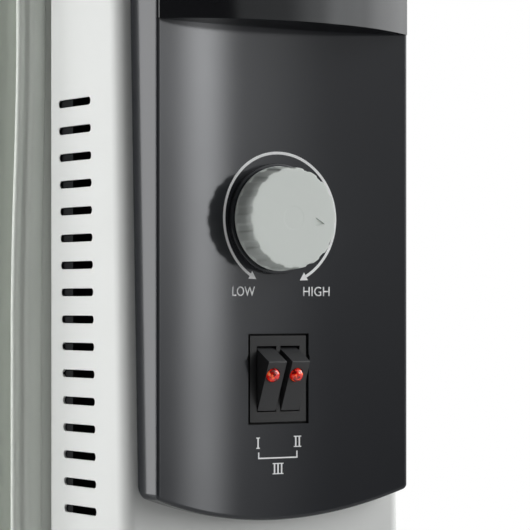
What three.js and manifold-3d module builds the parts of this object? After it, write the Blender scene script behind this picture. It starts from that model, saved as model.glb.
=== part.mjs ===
import * as THREE from 'three';
import { mergeVertices } from 'three/addons/utils/BufferGeometryUtils.js';
import Module from 'manifold-3d';

const wasm = await Module();
wasm.setup();

// An oil filled radiator heater. All lengths are in millimetres, +Z is up, the control panel faces -Y,
// and while the pieces are made y = 0 is the face of the double switch and z = 0 the floor.

// Clearances
const seatGap = 0.3;
const runGap = 0.4;
const overrun = 2;

// Finned body: pressed steel fins in a row, joined by a header at the top and one at the bottom
const finCount = 9;
const finPitch = 38;
const finWidth = 145;
const finHeight = 556;
const finCornerRadius = 60;
const finRimHalf = 1.3;
const finSheetHalf = 0.8;
const finTroughInset = 3.4;
const finRibHalf = 2.8;
const finRibRise = 4.2;
const finChannelHalf = 5;
const finChannelRise = 9;
const finChannelWidth = 14;
const finWebHalf = 1.2;
const finWebFall = 8;
const headerInset = 60;
const headerRadius = 27;
const headerBoreRadius = 15;
const finNeckWall = 2.4;

// Control casing: a folded steel sheet whose front leans forward going down
const casingWidth = 118;
const casingSheet = 1;
const casingCornerRadius = 5;
const casingBackY = 61.6;
const casingFrontY = 14;
const casingLean = 0.031;
const casingAboveSwitch = 166;
const casingAboveFinBottom = 10;
const windowSideMargin = 13;
const windowAboveSwitch = 112;
const windowBelowSwitch = 34;
const slotCount = 22;
const slotPitch = 9.73;
const slotHeight = 2.75;
const slotLength = 24;
const slotFrontMargin = 19.8;
const firstSlotAboveSwitch = 99;

// Back plate of the casing, a shallow sheet channel that hangs on the first fin
const backPlateSheet = 1;
const backPlateFlange = 12;
const backPlateSetIn = 1.6;
const backPlateTopGap = 3;

// Bottom cover of the casing and the lead inlet in it
const bottomCoverThickness = 3;
const intakeSlotCount = 4;
const intakeSlotWidth = 5;
const intakeSlotLength = 26;
const intakeSlotPitch = 11;
const inletRadius = 7;
const inletBore = 3.6;
const inletCollarRadius = 10;
const inletCollarHeight = 3;
const inletBelow = 6;
const inletFromBack = 20;

// Control panel: a deep moulded tray, hollow in plan like a shallow trough, with a bowed lower edge
const panelSideMargin = 6.4;
const panelEdgeProud = 5.4;
const panelWall = 2.5;
const panelBottomBelowSwitch = 50.4;
const panelBow = 9.8;
const panelTopBelowCasingTop = 1.5;
const panelPostRadius = 3.5;
const panelPostEdge = 5.5;
const panelPadMargin = 3.6;
const panelPadDepth = 4.4;
const panelShaftHoleRadius = 6;

// Top handle: a cap with a rounded visor over the panel and a grip bar across the top
const visorAboveSwitch = 125.5;
const visorSideMargin = 6.7;
const visorSideY = -5.8;
const visorProud = 20;
const visorUndersideDrop = 2.2;
const deckThickness = 6;
const gripOpeningHeight = 32;
const gripOpeningSideMargin = 17;
const gripOpeningRadius = 12;
const gripBarHeight = 18;
const gripBarDepth = 30;
const gripBarChamferShare = 0.33;
const gripShoulderRadius = 24;
const gripNoseRise = 52;
const gripTopSetBack = 11;
const gripRearHeight = 7;

// Double rocker switch
const switchBelowFinTop = 197;
const bezelWidth = 25.2;
const bezelHeight = 32;
const bezelThickness = 2;
const bezelGap = 0.45;
const switchBodyWidth = 21.6;
const switchBodyHeight = 28.6;
const switchBodyDepth = 20;
const switchWindowWidth = 8.1;
const switchWindowHeight = 23.4;
const switchRib = 1.8;
const switchCavityDepth = 12;
const rockerPivotDepth = 4;
const rockerPinRadius = 1.2;
const rockerPinReach = 0.55;
const rockerRidgeProud = 7.3;
const rockerRidgeAbove = 6.2;
const rockerRidgeFlat = 0.7;
const rockerTopSunk = 1.5;
const rockerBellyDepth = 8.5;
const rockerSkirtDepth = 3;
const rockerBellyHalfShare = 0.3;
const rockerBendHalfShare = 0.75;
const lensRadius = 2.5;
const lensProud = 2;
const lensSeatDepth = 1;
const lensBelowRidge = 4.4;
const lensAside = 0.8;
const lensShoulderShare = 0.87;
const lensCrownShare = 0.5;

// Thermostat with its knob
const knobX = -1.8;
const knobAboveSwitch = 57;
const knobRadius = 18.6;
const knobFaceRadius = 17.8;
const knobDepth = 9.8;
const knobStandOff = 3.3;
const knobSeatRadius = 19.7;
const knobFluteCount = 18;
const knobPointsPerFlute = 3;
const knobFluteDepth = 0.6;
const knobEdgeBevel = 0.4;
const knobWall = 2.2;
const knobHubRadius = 5.5;
const shaftRadius = 3;
const shaftInKnob = 8;
const thermostatWidth = 34;
const thermostatHeight = 28;
const thermostatDepth = 17;
const bushRadius = 4.8;
const nutThickness = 2.6;
const nutRadius = 7.6;

// Plate behind the panel that carries the thermostat
const plateSheet = 1.2;
const plateSideOverlap = 2;

// Heating element in the lower header
const elementRodRadius = 4.2;
const elementRodSpacing = 12;
const elementBridgeHalf = 2.1;
const elementPlugRadius = 23;
const elementPlugThickness = 7;
const elementEndGap = 20;
const gasketThickness = 1.5;
const gasketWidth = 6;
const elementPinRadius = 1.8;
const elementPinLength = 12;

// Small parts on the back plate
const cutOutRadius = 8;
const cutOutDepth = 7;
const cutOutTabWidth = 2;
const cutOutAboveHeader = 46;
const tipSwitchWidth = 26;
const tipSwitchHeight = 34;
const tipSwitchDepth = 16;
const tipSwitchAboveHeader = 84;
const tipSwitchSideMargin = 16;
const tipSwitchBore = 4;
const blockWidth = 46;
const blockHeight = 17;
const blockDepth = 15;
const blockAboveHeader = 150;
const blockWays = 3;
const blockWayRadius = 3;
const blockWayDepth = 8;

// Oil filler plug on the last fin
const fillerShankLength = 12;
const fillerRadius = 20;
const fillerThickness = 5;
const fillerHexRadius = 8;
const fillerHexThickness = 4;

// Feet: a sheet bracket under each end, clamped to the lower header by a U-bolt
const castorSpacing = 210;
const bracketWidth = 54;
const bracketSheet = 2;
const bracketRise = 15;
const bracketPadHalf = 18;
const bracketCrownMargin = 16;
const bracketRamp = 24;
const bracketFlange = 7;
const boltRadius = 3;
const boltHug = 1.1;
const boltBelowBracket = 16;
const wingNutRadius = 6;
const wingNutHeight = 8;
const wingReach = 15;
const wingThickness = 2.4;
const wingRise = 7;
const wingRootShare = 0.25;
const wingTipShare = 0.5;

// Castors
const wheelRadius = 23;
const wheelWidth = 17;
const wheelShoulder = 2.6;
const wheelDish = 3;
const wheelHubRadius = 8;
const wheelRimWidth = 5;
const axleRadius = 2.5;
const axleHeadRadius = 4;
const axleHeadThickness = 1.5;
const castorTrail = 13;
const forkCheek = 3;
const forkPlateThickness = 4;
const forkPlateRadius = 14;
const forkClearance = 5;
const forkBossRadius = 7;
const stemRadius = 4.5;
const stemAbove = 9;

// Screws
const screwRadius = 1.7;
const screwHeadRadius = 3.4;
const screwHeadHeight = 1.8;
const screwCrownShare = 0.8;
const casingScrewLength = 7;
const casingScrewInset = 13;
const plateScrewLength = 8;

// Round stretches are drawn in this many straight steps
const cornerSteps = 4;
const finCornerSteps = 3;
const roundSteps = 12;
const smallSteps = 8;
const stemSteps = 12;
const headerSteps = 10;
const hexSides = 6;
const wheelSteps = 16;
const bowSteps = 12;
const boltSteps = 14;
const slotEndSteps = 3;

// Heights and depths that follow
const castorHeight = 2 * wheelRadius + forkClearance + forkPlateThickness + seatGap;
const finBottomZ = castorHeight + bracketSheet + bracketRise + seatGap;
const finTopZ = finBottomZ + finHeight;
const headerLowZ = finBottomZ + headerInset;
const headerHighZ = finTopZ - headerInset;
const switchZ = finTopZ - switchBelowFinTop;
const knobZ = switchZ + knobAboveSwitch;
const casingTopZ = switchZ + casingAboveSwitch;
const casingBottomZ = finBottomZ + casingAboveFinBottom;
const firstFinY = casingBackY + seatGap + finChannelHalf;
const lastFinY = firstFinY + (finCount - 1) * finPitch;
const bracketYs = [firstFinY + finPitch / 2, lastFinY - finPitch / 2];
const panelWidth = casingWidth - 2 * panelSideMargin;
const windowHalfWidth = casingWidth / 2 - windowSideMargin;
const plateHalfWidth = windowHalfWidth + plateSideOverlap;
const plateFrontY = casingFrontY + casingSheet + seatGap;
const backPlateBackY = casingBackY - backPlateSetIn;
const backPlateFrontY = backPlateBackY - backPlateSheet;
const backPlateHalfWidth = casingWidth / 2 - casingSheet - seatGap;
const tipSwitchX = backPlateHalfWidth - tipSwitchSideMargin - tipSwitchWidth / 2;
const wheelCentreZ = wheelRadius * Math.cos(Math.PI / wheelSteps);
const boltLegX = headerRadius + boltHug + boltRadius;

// Finishes, as each piece is painted or moulded
const finishes = {
  fin: { color: 0xc4c7c0, roughness: 0.38, metalness: 0.1 },
  casing: { color: 0xe4e5e4, roughness: 0.42, metalness: 0.05 },
  black: { color: 0x1b1c1e, roughness: 0.2, metalness: 0 },
  dark: { color: 0x2a2b2d, roughness: 0.5, metalness: 0 },
  knob: { color: 0xb7bcb8, roughness: 0.45, metalness: 0 },
  lens: { color: 0xc8180f, roughness: 0.1, metalness: 0 },
  steel: { color: 0xb9bcc0, roughness: 0.35, metalness: 0.9 },
  brass: { color: 0xb08d4a, roughness: 0.35, metalness: 0.9 },
  rubber: { color: 0x242424, roughness: 0.8, metalness: 0 },
  ceramic: { color: 0xe9e4d8, roughness: 0.5, metalness: 0 },
};

function solidOf(geometry) {
  const bare = geometry.clone();
  bare.deleteAttribute('normal');
  bare.deleteAttribute('uv');
  const merged = mergeVertices(bare);
  const vertProperties = new Float32Array(merged.attributes.position.array);
  const triVerts = new Uint32Array(merged.index.array);
  return new wasm.Manifold(new wasm.Mesh({ numProp: 3, vertProperties, triVerts }));
}

function geometryOf(solid) {
  const mesh = solid.getMesh();
  const geometry = new THREE.BufferGeometry();
  geometry.setAttribute('position', new THREE.BufferAttribute(new Float32Array(mesh.vertProperties), 3));
  geometry.setIndex(new THREE.BufferAttribute(new Uint32Array(mesh.triVerts), 1));
  return geometry;
}

function join(first, ...others) {
  return geometryOf(others.reduce((solid, other) => solid.add(solidOf(other)), solidOf(first)));
}

function cut(first, ...others) {
  return geometryOf(others.reduce((solid, other) => solid.subtract(solidOf(other)), solidOf(first)));
}

function common(first, ...others) {
  return geometryOf(others.reduce((solid, other) => solid.intersect(solidOf(other)), solidOf(first)));
}

function block(x0, x1, y0, y1, z0, z1) {
  const box = new THREE.BoxGeometry(x1 - x0, y1 - y0, z1 - z0);
  return box.translate((x0 + x1) / 2, (y0 + y1) / 2, (z0 + z1) / 2);
}

// A cylinder along +Y from y0 to y1 about the point x, z
function barrelY(radius, x, z, y0, y1, steps = roundSteps) {
  return new THREE.CylinderGeometry(radius, radius, y1 - y0, steps).translate(x, (y0 + y1) / 2, z);
}

// A cylinder along +Z from z0 to z1 about the point x, y
function barrelZ(radius, x, y, z0, z1, steps = roundSteps) {
  const barrel = new THREE.CylinderGeometry(radius, radius, z1 - z0, steps).rotateX(Math.PI / 2);
  return barrel.translate(x, y, (z0 + z1) / 2);
}

// A cylinder along +X from x0 to x1 about the point y, z
function barrelX(radius, y, z, x0, x1, steps = roundSteps) {
  const barrel = new THREE.CylinderGeometry(radius, radius, x1 - x0, steps).rotateZ(Math.PI / 2);
  return barrel.translate((x0 + x1) / 2, y, z);
}

// An outline of points in plan, raised from z0 to z1
function raisePlan(points, z0, z1) {
  const shape = new THREE.Shape(points);
  return new THREE.ExtrudeGeometry(shape, { depth: z1 - z0, bevelEnabled: false }).translate(0, 0, z0);
}

// An outline seen from the front, in x and z, carried from y0 to y1
function carryFront(points, y0, y1) {
  const solid = new THREE.ExtrudeGeometry(new THREE.Shape(points), { depth: y1 - y0, bevelEnabled: false });
  return solid.rotateX(Math.PI / 2).translate(0, y1, 0);
}

// An outline seen from the side, in y and z, carried from x0 to x1
function carrySide(points, x0, x1) {
  const solid = new THREE.ExtrudeGeometry(new THREE.Shape(points), { depth: x1 - x0, bevelEnabled: false });
  return solid.rotateY(Math.PI / 2).rotateX(Math.PI / 2).translate(x0, 0, 0);
}

function point(x, y) {
  return new THREE.Vector2(x, y);
}

// Points round a circle from one angle to another, both ends included
function arcPoints(cx, cy, radius, from, to, steps) {
  return Array.from({ length: steps + 1 }, (_, i) => {
    const angle = from + ((to - from) * i) / steps;
    return point(cx + radius * Math.cos(angle), cy + radius * Math.sin(angle));
  });
}

// Points of a shallow bow from (-half, level) to (half, level) that is rise higher in the middle
function bowPoints(half, level, rise, steps = bowSteps) {
  const radius = (half * half + rise * rise) / (2 * rise);
  return Array.from({ length: steps + 1 }, (_, i) => {
    const x = -half + (2 * half * i) / steps;
    return point(x, level + rise - radius + Math.sqrt(radius * radius - x * x));
  });
}

// The outline of a rectangle with round corners, counter-clockwise about cx, cy
function roundedOutline(width, height, radius, steps = cornerSteps, cx = 0, cy = 0) {
  const dx = width / 2 - radius;
  const dy = height / 2 - radius;
  const corners = [[1, 1], [-1, 1], [-1, -1], [1, -1]];
  return corners.flatMap(([sx, sy], i) => {
    const from = (i * Math.PI) / 2;
    return arcPoints(cx + sx * dx, cy + sy * dy, radius, from, from + Math.PI / 2, steps);
  });
}

// Turns a closed skin right side out: its faces wind outwards when the volume they hold is positive
function facingOut(geometry) {
  const place = geometry.attributes.position;
  const index = geometry.index.array;
  const [a, b, c] = [new THREE.Vector3(), new THREE.Vector3(), new THREE.Vector3()];
  let volume = 0;
  for (let i = 0; i < index.length; i += 3) {
    a.fromBufferAttribute(place, index[i]);
    b.fromBufferAttribute(place, index[i + 1]);
    c.fromBufferAttribute(place, index[i + 2]);
    volume += a.dot(b.cross(c));
  }
  if (volume < 0) {
    for (let i = 0; i < index.length; i += 3) {
      [index[i], index[i + 1]] = [index[i + 1], index[i]];
    }
  }
  return geometry;
}

// A skin stretched over rings of equally many points, closed flat at its first and last ring
function loft(rings) {
  const count = rings[0].length;
  const positions = rings.flat().flatMap((p) => [p.x, p.y, p.z]);
  const index = [];
  for (let r = 0; r < rings.length - 1; r += 1) {
    for (let i = 0; i < count; i += 1) {
      const a = r * count + i;
      const b = r * count + ((i + 1) % count);
      index.push(a, b, b + count, a, b + count, a + count);
    }
  }
  const last = (rings.length - 1) * count;
  for (let i = 1; i < count - 1; i += 1) {
    index.push(0, i + 1, i);
    index.push(last, last + i, last + i + 1);
  }
  const geometry = new THREE.BufferGeometry();
  geometry.setAttribute('position', new THREE.Float32BufferAttribute(positions, 3));
  geometry.setIndex(index);
  return facingOut(geometry);
}

// A round profile of [radius, height] pairs turned about Z
function turned(profile, steps = roundSteps) {
  const points = profile.map(([radius, height]) => point(radius, height));
  return facingOut(new THREE.LatheGeometry(points, steps).rotateX(Math.PI / 2));
}

const mirroredX = (points) => points.map((p) => point(-p.x, p.y)).reverse();

// The front face of the casing at height z
function casingFaceY(z) {
  return casingFrontY - casingLean * (casingTopZ - z);
}

// Everything behind the leaning plane that stands this far in front of the casing's face
function behindCasingFace(before, zLow, zHigh) {
  const reach = casingWidth;
  const outline = [
    point(casingFaceY(zLow) - before, zLow),
    point(casingBackY + overrun, zLow),
    point(casingBackY + overrun, zHigh),
    point(casingFaceY(zHigh) - before, zHigh),
  ];
  return carrySide(outline, -reach, reach);
}

// One fin about its middle: two pressed sheets whose rim, rib and oil channel follow the outline
// inwards, with a short neck round each of its two ways for the headers
function finGeometry() {
  const ribInset = finTroughInset + finRibRise;
  const channelInset = ribInset + finChannelRise;
  const channelEnd = channelInset + finChannelWidth;
  const steps = [
    [0, finRimHalf],
    [finTroughInset, finSheetHalf],
    [ribInset, finRibHalf],
    [channelInset, finChannelHalf],
    [channelEnd, finChannelHalf],
    [channelEnd + finWebFall, finWebHalf],
  ];
  const ring = ([inset, half], side) => {
    const radius = Math.max(finCornerRadius - inset, finTroughInset);
    const outline = roundedOutline(finWidth - 2 * inset, finHeight - 2 * inset, radius, finCornerSteps);
    return outline.map((p) => new THREE.Vector3(p.x, side * half, p.y));
  };
  const front = steps.map((step) => ring(step, -1)).reverse();
  const back = steps.map((step) => ring(step, 1));
  const pressed = loft([...front, ...back]);
  const levels = [headerInset - finHeight / 2, finHeight / 2 - headerInset];
  const neckRadius = headerRadius + seatGap + finNeckWall;
  const deep = finChannelHalf;
  const necks = levels.map((z) => barrelY(neckRadius, 0, z, -deep, deep, headerSteps));
  const reach = deep + overrun;
  const ways = levels.map((z) => barrelY(headerRadius + seatGap, 0, z, -reach, reach, headerSteps));
  return cut(join(pressed, ...necks), ...ways);
}

// A header about its own axis: a thick tube through all the fins, bored from the end that a plug closes
function headerGeometry(boreFrom, boreTo) {
  const front = firstFinY - finChannelHalf;
  const tube = barrelY(headerRadius, 0, 0, front, lastFinY + finChannelHalf, headerSteps);
  return cut(tube, barrelY(headerBoreRadius, 0, 0, boreFrom, boreTo, smallSteps));
}

// The plan outline of the folded sheet, open at the back
function casingPlan() {
  const half = casingWidth / 2;
  const radius = casingCornerRadius;
  const y = casingFrontY + radius;
  const outer = arcPoints(half - radius, y, radius, 0, -Math.PI / 2, cornerSteps);
  const inner = arcPoints(half - radius, y, radius - casingSheet, 0, -Math.PI / 2, cornerSteps);
  return [
    point(half, casingBackY),
    ...outer,
    ...mirroredX(outer),
    point(-half, casingBackY),
    point(-half + casingSheet, casingBackY),
    ...mirroredX(inner).reverse(),
    ...inner.reverse(),
    point(half - casingSheet, casingBackY),
  ];
}

// Leans every point in front of the back edge by its depth below the top
function leanForward(geometry) {
  const place = geometry.attributes.position;
  for (let i = 0; i < place.count; i += 1) {
    const y = place.getY(i);
    if (y < casingBackY - overrun) {
      place.setY(i, y - casingLean * (casingTopZ - place.getZ(i)));
    }
  }
  return geometry;
}

// One vent, a level slot with round ends, cut through a side wall
function ventSlot(row, side) {
  const z = switchZ + firstSlotAboveSwitch - row * slotPitch;
  const front = casingFaceY(z) + slotFrontMargin;
  const radius = slotHeight / 2;
  const outline = [
    ...arcPoints(front + slotLength - radius, z, radius, -Math.PI / 2, Math.PI / 2, slotEndSteps),
    ...arcPoints(front + radius, z, radius, Math.PI / 2, (3 * Math.PI) / 2, slotEndSteps),
  ];
  const wall = casingWidth / 2;
  const x0 = side > 0 ? wall - casingSheet - overrun : -wall - overrun;
  return carrySide(outline, x0, x0 + casingSheet + 2 * overrun);
}

function screwHoleSpots() {
  const y = backPlateFrontY - backPlateFlange / 2;
  const low = casingBottomZ + bottomCoverThickness + casingScrewInset;
  const high = casingTopZ - casingScrewInset;
  return [[-1, y, low], [1, y, low], [-1, y, high], [1, y, high]];
}

function casingGeometry() {
  const sheet = leanForward(raisePlan(casingPlan(), casingBottomZ, casingTopZ));
  const window = block(
    -windowHalfWidth, windowHalfWidth, casingFaceY(casingBottomZ) - overrun, casingFrontY + overrun,
    switchZ - windowBelowSwitch, switchZ + windowAboveSwitch,
  );
  const slots = [];
  for (let row = 0; row < slotCount; row += 1) {
    slots.push(ventSlot(row, -1), ventSlot(row, 1));
  }
  const wall = casingWidth / 2;
  const holes = screwHoleSpots().map(([side, y, z]) => {
    const x = side * wall;
    return barrelX(screwRadius + seatGap, y, z, x - overrun, x + overrun, smallSteps);
  });
  return cut(sheet, window, ...slots, ...holes);
}

// The closing sheet behind the controls, with a flange folded forward along each side
function backPlateGeometry() {
  const half = backPlateHalfWidth;
  const z0 = casingBottomZ + bottomCoverThickness + seatGap;
  const z1 = casingTopZ - backPlateTopGap;
  const outline = [
    point(-half, backPlateBackY),
    point(-half, backPlateFrontY - backPlateFlange),
    point(-half + backPlateSheet, backPlateFrontY - backPlateFlange),
    point(-half + backPlateSheet, backPlateFrontY),
    point(half - backPlateSheet, backPlateFrontY),
    point(half - backPlateSheet, backPlateFrontY - backPlateFlange),
    point(half, backPlateFrontY - backPlateFlange),
    point(half, backPlateBackY),
  ];
  const channel = raisePlan(outline, z0, z1);
  const open = elementPlugRadius + runGap;
  const way = barrelY(open, 0, headerLowZ, backPlateFrontY - overrun, backPlateBackY + overrun);
  const holes = screwHoleSpots().map(([side, y, z]) => {
    const x = side * half;
    return barrelX(screwRadius + seatGap, y, z, x - overrun, x + overrun, smallSteps);
  });
  return cut(channel, way, ...holes);
}

// The floor of the casing: a moulded plate with air slots and the hole of the lead inlet
function bottomCoverGeometry() {
  const half = backPlateHalfWidth;
  const z0 = casingBottomZ + seatGap;
  const z1 = casingBottomZ + bottomCoverThickness;
  const front = casingFaceY(z1) + casingSheet + seatGap;
  const radius = casingCornerRadius - casingSheet;
  const corner = arcPoints(half - radius, front + radius, radius, 0, -Math.PI / 2, cornerSteps);
  const outline = [
    point(half, casingBackY - seatGap),
    ...corner,
    ...mirroredX(corner),
    point(-half, casingBackY - seatGap),
  ];
  const plate = raisePlan(outline, z0, z1);
  const slots = [];
  for (let i = 0; i < intakeSlotCount; i += 1) {
    const y = front + intakeSlotPitch * (i + 1) - intakeSlotPitch / 2;
    slots.push(block(
      -intakeSlotLength, intakeSlotLength, y, y + intakeSlotWidth, z0 - overrun, z1 + overrun,
    ));
  }
  const hole = barrelZ(inletRadius + seatGap, 0, inletY(), z0 - overrun, z1 + overrun);
  return cut(plate, ...slots, hole);
}

function inletY() {
  return casingBackY - inletFromBack + inletRadius;
}

// The bush in the bottom cover that a mains lead would come in through, open all the way
function inletGeometry() {
  const bottom = casingBottomZ + seatGap;
  const top = casingBottomZ + bottomCoverThickness;
  return turned([
    [inletBore, bottom - inletBelow],
    [inletRadius, bottom - inletBelow],
    [inletRadius, top + seatGap],
    [inletCollarRadius, top + seatGap],
    [inletCollarRadius, top + seatGap + inletCollarHeight],
    [inletBore, top + seatGap + inletCollarHeight],
    [inletBore, bottom - inletBelow],
  ]);
}

// The trough-like plan of the panel's face between its two edges, this far behind the face
function panelFacePlan(behind) {
  const half = panelWidth / 2;
  return bowPoints(half, -panelEdgeProud, panelEdgeProud).map((p) => point(p.x, p.y + behind));
}

function panelFront(inset, top) {
  const half = panelWidth / 2 - inset;
  const edge = switchZ - panelBottomBelowSwitch + panelBow;
  const bow = bowPoints(half, -edge, panelBow).map((p) => point(p.x, inset - p.y));
  return [...bow, point(half, top), point(-half, top)];
}

function panelGeometry() {
  const half = panelWidth / 2;
  const top = casingTopZ - panelTopBelowCasingTop;
  const low = switchZ - panelBottomBelowSwitch - overrun;
  const back = casingFrontY + overrun;
  const raised = raisePlan([...panelFacePlan(0), point(half, back), point(-half, back)], low, top);
  const outer = common(raised, carryFront(panelFront(0, top), -panelEdgeProud - overrun, back));
  const innerHalf = half - panelWall;
  const inner = raisePlan(
    [...panelFacePlan(panelWall), point(half, back + overrun), point(-half, back + overrun)],
    low, top + overrun,
  );
  const bay = carryFront(panelFront(panelWall, top + overrun), -overrun - panelEdgeProud, back + overrun);
  const hollow = common(inner, bay, block(-innerHalf, innerHalf, -half, half, low, top + overrun));
  const pad = block(
    -bezelWidth / 2 - panelPadMargin, bezelWidth / 2 + panelPadMargin, panelWall / 2, panelPadDepth,
    switchZ - bezelHeight / 2 - panelPadMargin, switchZ + bezelHeight / 2 + panelPadMargin,
  );
  const postEnd = plateFrontY - seatGap;
  const posts = postSpots().map(([x, z]) => (
    barrelY(panelPostRadius, x, z, panelPostRoot(x), postEnd, smallSteps)
  ));
  const shell = join(cut(outer, hollow), pad);
  const trimmed = cut(shell, behindCasingFace(seatGap, low - overrun, top + overrun));
  const pocket = block(
    -bezelWidth / 2 - bezelGap, bezelWidth / 2 + bezelGap, -overrun, bezelThickness + seatGap,
    switchZ - bezelHeight / 2 - bezelGap, switchZ + bezelHeight / 2 + bezelGap,
  );
  const way = block(
    -switchBodyWidth / 2 - seatGap, switchBodyWidth / 2 + seatGap, 0, panelPadDepth + overrun,
    switchZ - switchBodyHeight / 2 - seatGap, switchZ + switchBodyHeight / 2 + seatGap,
  );
  const seat = barrelY(knobSeatRadius, knobX, knobZ, runGap - knobStandOff, panelWall / 2, roundSteps * 2);
  const shaftHole = barrelY(
    panelShaftHoleRadius, knobX, knobZ, -knobStandOff - overrun, panelWall + overrun,
  );
  const screwHoles = postSpots().map(([x, z]) => (
    barrelY(screwRadius + seatGap, x, z, postEnd - plateScrewLength, postEnd + overrun, smallSteps)
  ));
  return cut(join(trimmed, seat, ...posts), pocket, way, shaftHole, ...screwHoles);
}

// Four posts stand behind the panel's face, inside the window of the casing
function postSpots() {
  const x = windowHalfWidth - panelPostEdge;
  const low = switchZ - windowBelowSwitch + panelPostEdge;
  const high = switchZ + windowAboveSwitch - panelPostEdge;
  return [[-x, low], [x, low], [-x, high], [x, high]];
}

// Where a post at x grows from the middle of the panel's wall
function panelPostRoot(x) {
  const half = panelWidth / 2;
  return panelWall / 2 - panelEdgeProud * (x / half) ** 2;
}

// The steel plate behind the window, which the thermostat and the switch body pass through
function mountingPlateGeometry() {
  const low = switchZ - windowBelowSwitch - panelPostEdge;
  const high = switchZ + windowAboveSwitch + panelPostEdge;
  const y1 = plateFrontY + plateSheet;
  const plate = block(-plateHalfWidth, plateHalfWidth, plateFrontY, y1, low, high);
  const way = block(
    -switchBodyWidth / 2 - runGap, switchBodyWidth / 2 + runGap, plateFrontY - overrun, y1 + overrun,
    switchZ - switchBodyHeight / 2 - runGap, switchZ + switchBodyHeight / 2 + runGap,
  );
  const bush = barrelY(bushRadius + seatGap, knobX, knobZ, plateFrontY - overrun, y1 + overrun);
  const holes = postSpots().map(([x, z]) => (
    barrelY(screwRadius + seatGap, x, z, plateFrontY - overrun, y1 + overrun, smallSteps)
  ));
  return cut(plate, way, bush, ...holes);
}

// A pan head screw whose shank points along -Y from its head at the origin
function screwGeometry(length) {
  return turned([
    [0, 0],
    [screwRadius, 0],
    [screwRadius, length],
    [screwHeadRadius, length],
    [screwHeadRadius * screwCrownShare, length + screwHeadHeight],
    [0, length + screwHeadHeight],
  ], smallSteps).translate(0, 0, -length);
}

// The cap: three outlines crossed, then hollowed under its deck and opened for the fingers
function handleGeometry() {
  const visorZ = switchZ + visorAboveSwitch;
  const deckZ = casingTopZ + deckThickness;
  const openTop = deckZ + gripOpeningHeight;
  const topZ = openTop + gripBarHeight;
  const half = casingWidth / 2;
  const nose = bowPoints(half - visorSideMargin, -visorSideY, visorProud + visorSideY);
  const plan = [
    ...nose.map((p) => point(p.x, -p.y)),
    point(half, casingFrontY),
    point(half, casingBackY),
    point(-half, casingBackY),
    point(-half, casingFrontY),
  ];
  const noseTop = visorZ + gripNoseRise;
  const barFront = -visorProud + gripTopSetBack;
  const barBack = barFront + gripBarDepth;
  const chamfer = gripBarHeight * gripBarChamferShare;
  const side = [
    point(-visorProud - overrun, visorZ),
    point(0, visorZ - visorUndersideDrop),
    point(casingBackY + overrun, visorZ - visorUndersideDrop),
    point(casingBackY + overrun, deckZ + gripRearHeight - deckThickness),
    point(barBack, topZ - chamfer),
    point(barBack - chamfer, topZ),
    point(barFront + chamfer, topZ),
    point(barFront, topZ - chamfer),
    point(-visorProud - overrun, noseTop),
  ];
  const shoulder = gripShoulderRadius;
  const front = [
    point(-half - overrun, visorZ - visorUndersideDrop - overrun),
    point(half + overrun, visorZ - visorUndersideDrop - overrun),
    point(half + overrun, casingTopZ),
    point(half, casingTopZ),
    ...arcPoints(half - shoulder, topZ - shoulder, shoulder, 0, Math.PI / 2, cornerSteps + 1),
    ...arcPoints(shoulder - half, topZ - shoulder, shoulder, Math.PI / 2, Math.PI, cornerSteps + 1),
    point(-half, casingTopZ),
    point(-half - overrun, casingTopZ),
  ];
  const back = casingBackY + overrun;
  const crossed = common(
    raisePlan(plan, visorZ - visorUndersideDrop - overrun, topZ + overrun),
    carrySide(side, -half - 2 * overrun, half + 2 * overrun),
    carryFront(front, -visorProud - 2 * overrun, back),
  );
  const under = [
    point(-half - overrun, -panelEdgeProud - seatGap),
    ...panelFacePlan(-seatGap),
    point(half + overrun, -panelEdgeProud - seatGap),
    point(half + overrun, back + overrun),
    point(-half - overrun, back + overrun),
  ];
  const housing = raisePlan(under, visorZ - visorUndersideDrop - 2 * overrun, casingTopZ + seatGap);
  const opening = carryFront(
    roundedOutline(
      casingWidth - 2 * gripOpeningSideMargin, gripOpeningHeight, gripOpeningRadius, cornerSteps, 0,
      deckZ + gripOpeningHeight / 2,
    ),
    -visorProud - 2 * overrun, back + overrun,
  );
  return cut(crossed, housing, opening);
}

// The switch: a flat bezel with two windows on a deep body, with a bore across it for the rocker pins
function switchHousingGeometry() {
  const bezel = block(
    -bezelWidth / 2, bezelWidth / 2, 0, bezelThickness,
    switchZ - bezelHeight / 2, switchZ + bezelHeight / 2,
  );
  const body = block(
    -switchBodyWidth / 2, switchBodyWidth / 2, bezelThickness / 2, bezelThickness + switchBodyDepth,
    switchZ - switchBodyHeight / 2, switchZ + switchBodyHeight / 2,
  );
  const cavities = [-1, 1].map((side) => {
    const near = (side * switchRib) / 2;
    const far = near + side * switchWindowWidth;
    return block(
      Math.min(near, far), Math.max(near, far), -overrun, switchCavityDepth,
      switchZ - switchWindowHeight / 2, switchZ + switchWindowHeight / 2,
    );
  });
  const wall = switchBodyWidth / 2;
  const reach = wall + overrun;
  const bore = barrelX(
    rockerPinRadius + seatGap, rockerPivotDepth, switchZ, -reach, reach, smallSteps,
  );
  return cut(join(bezel, body), ...cavities, bore);
}

function rockerX(side) {
  return (side * (switchRib + switchWindowWidth)) / 2;
}

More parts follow.
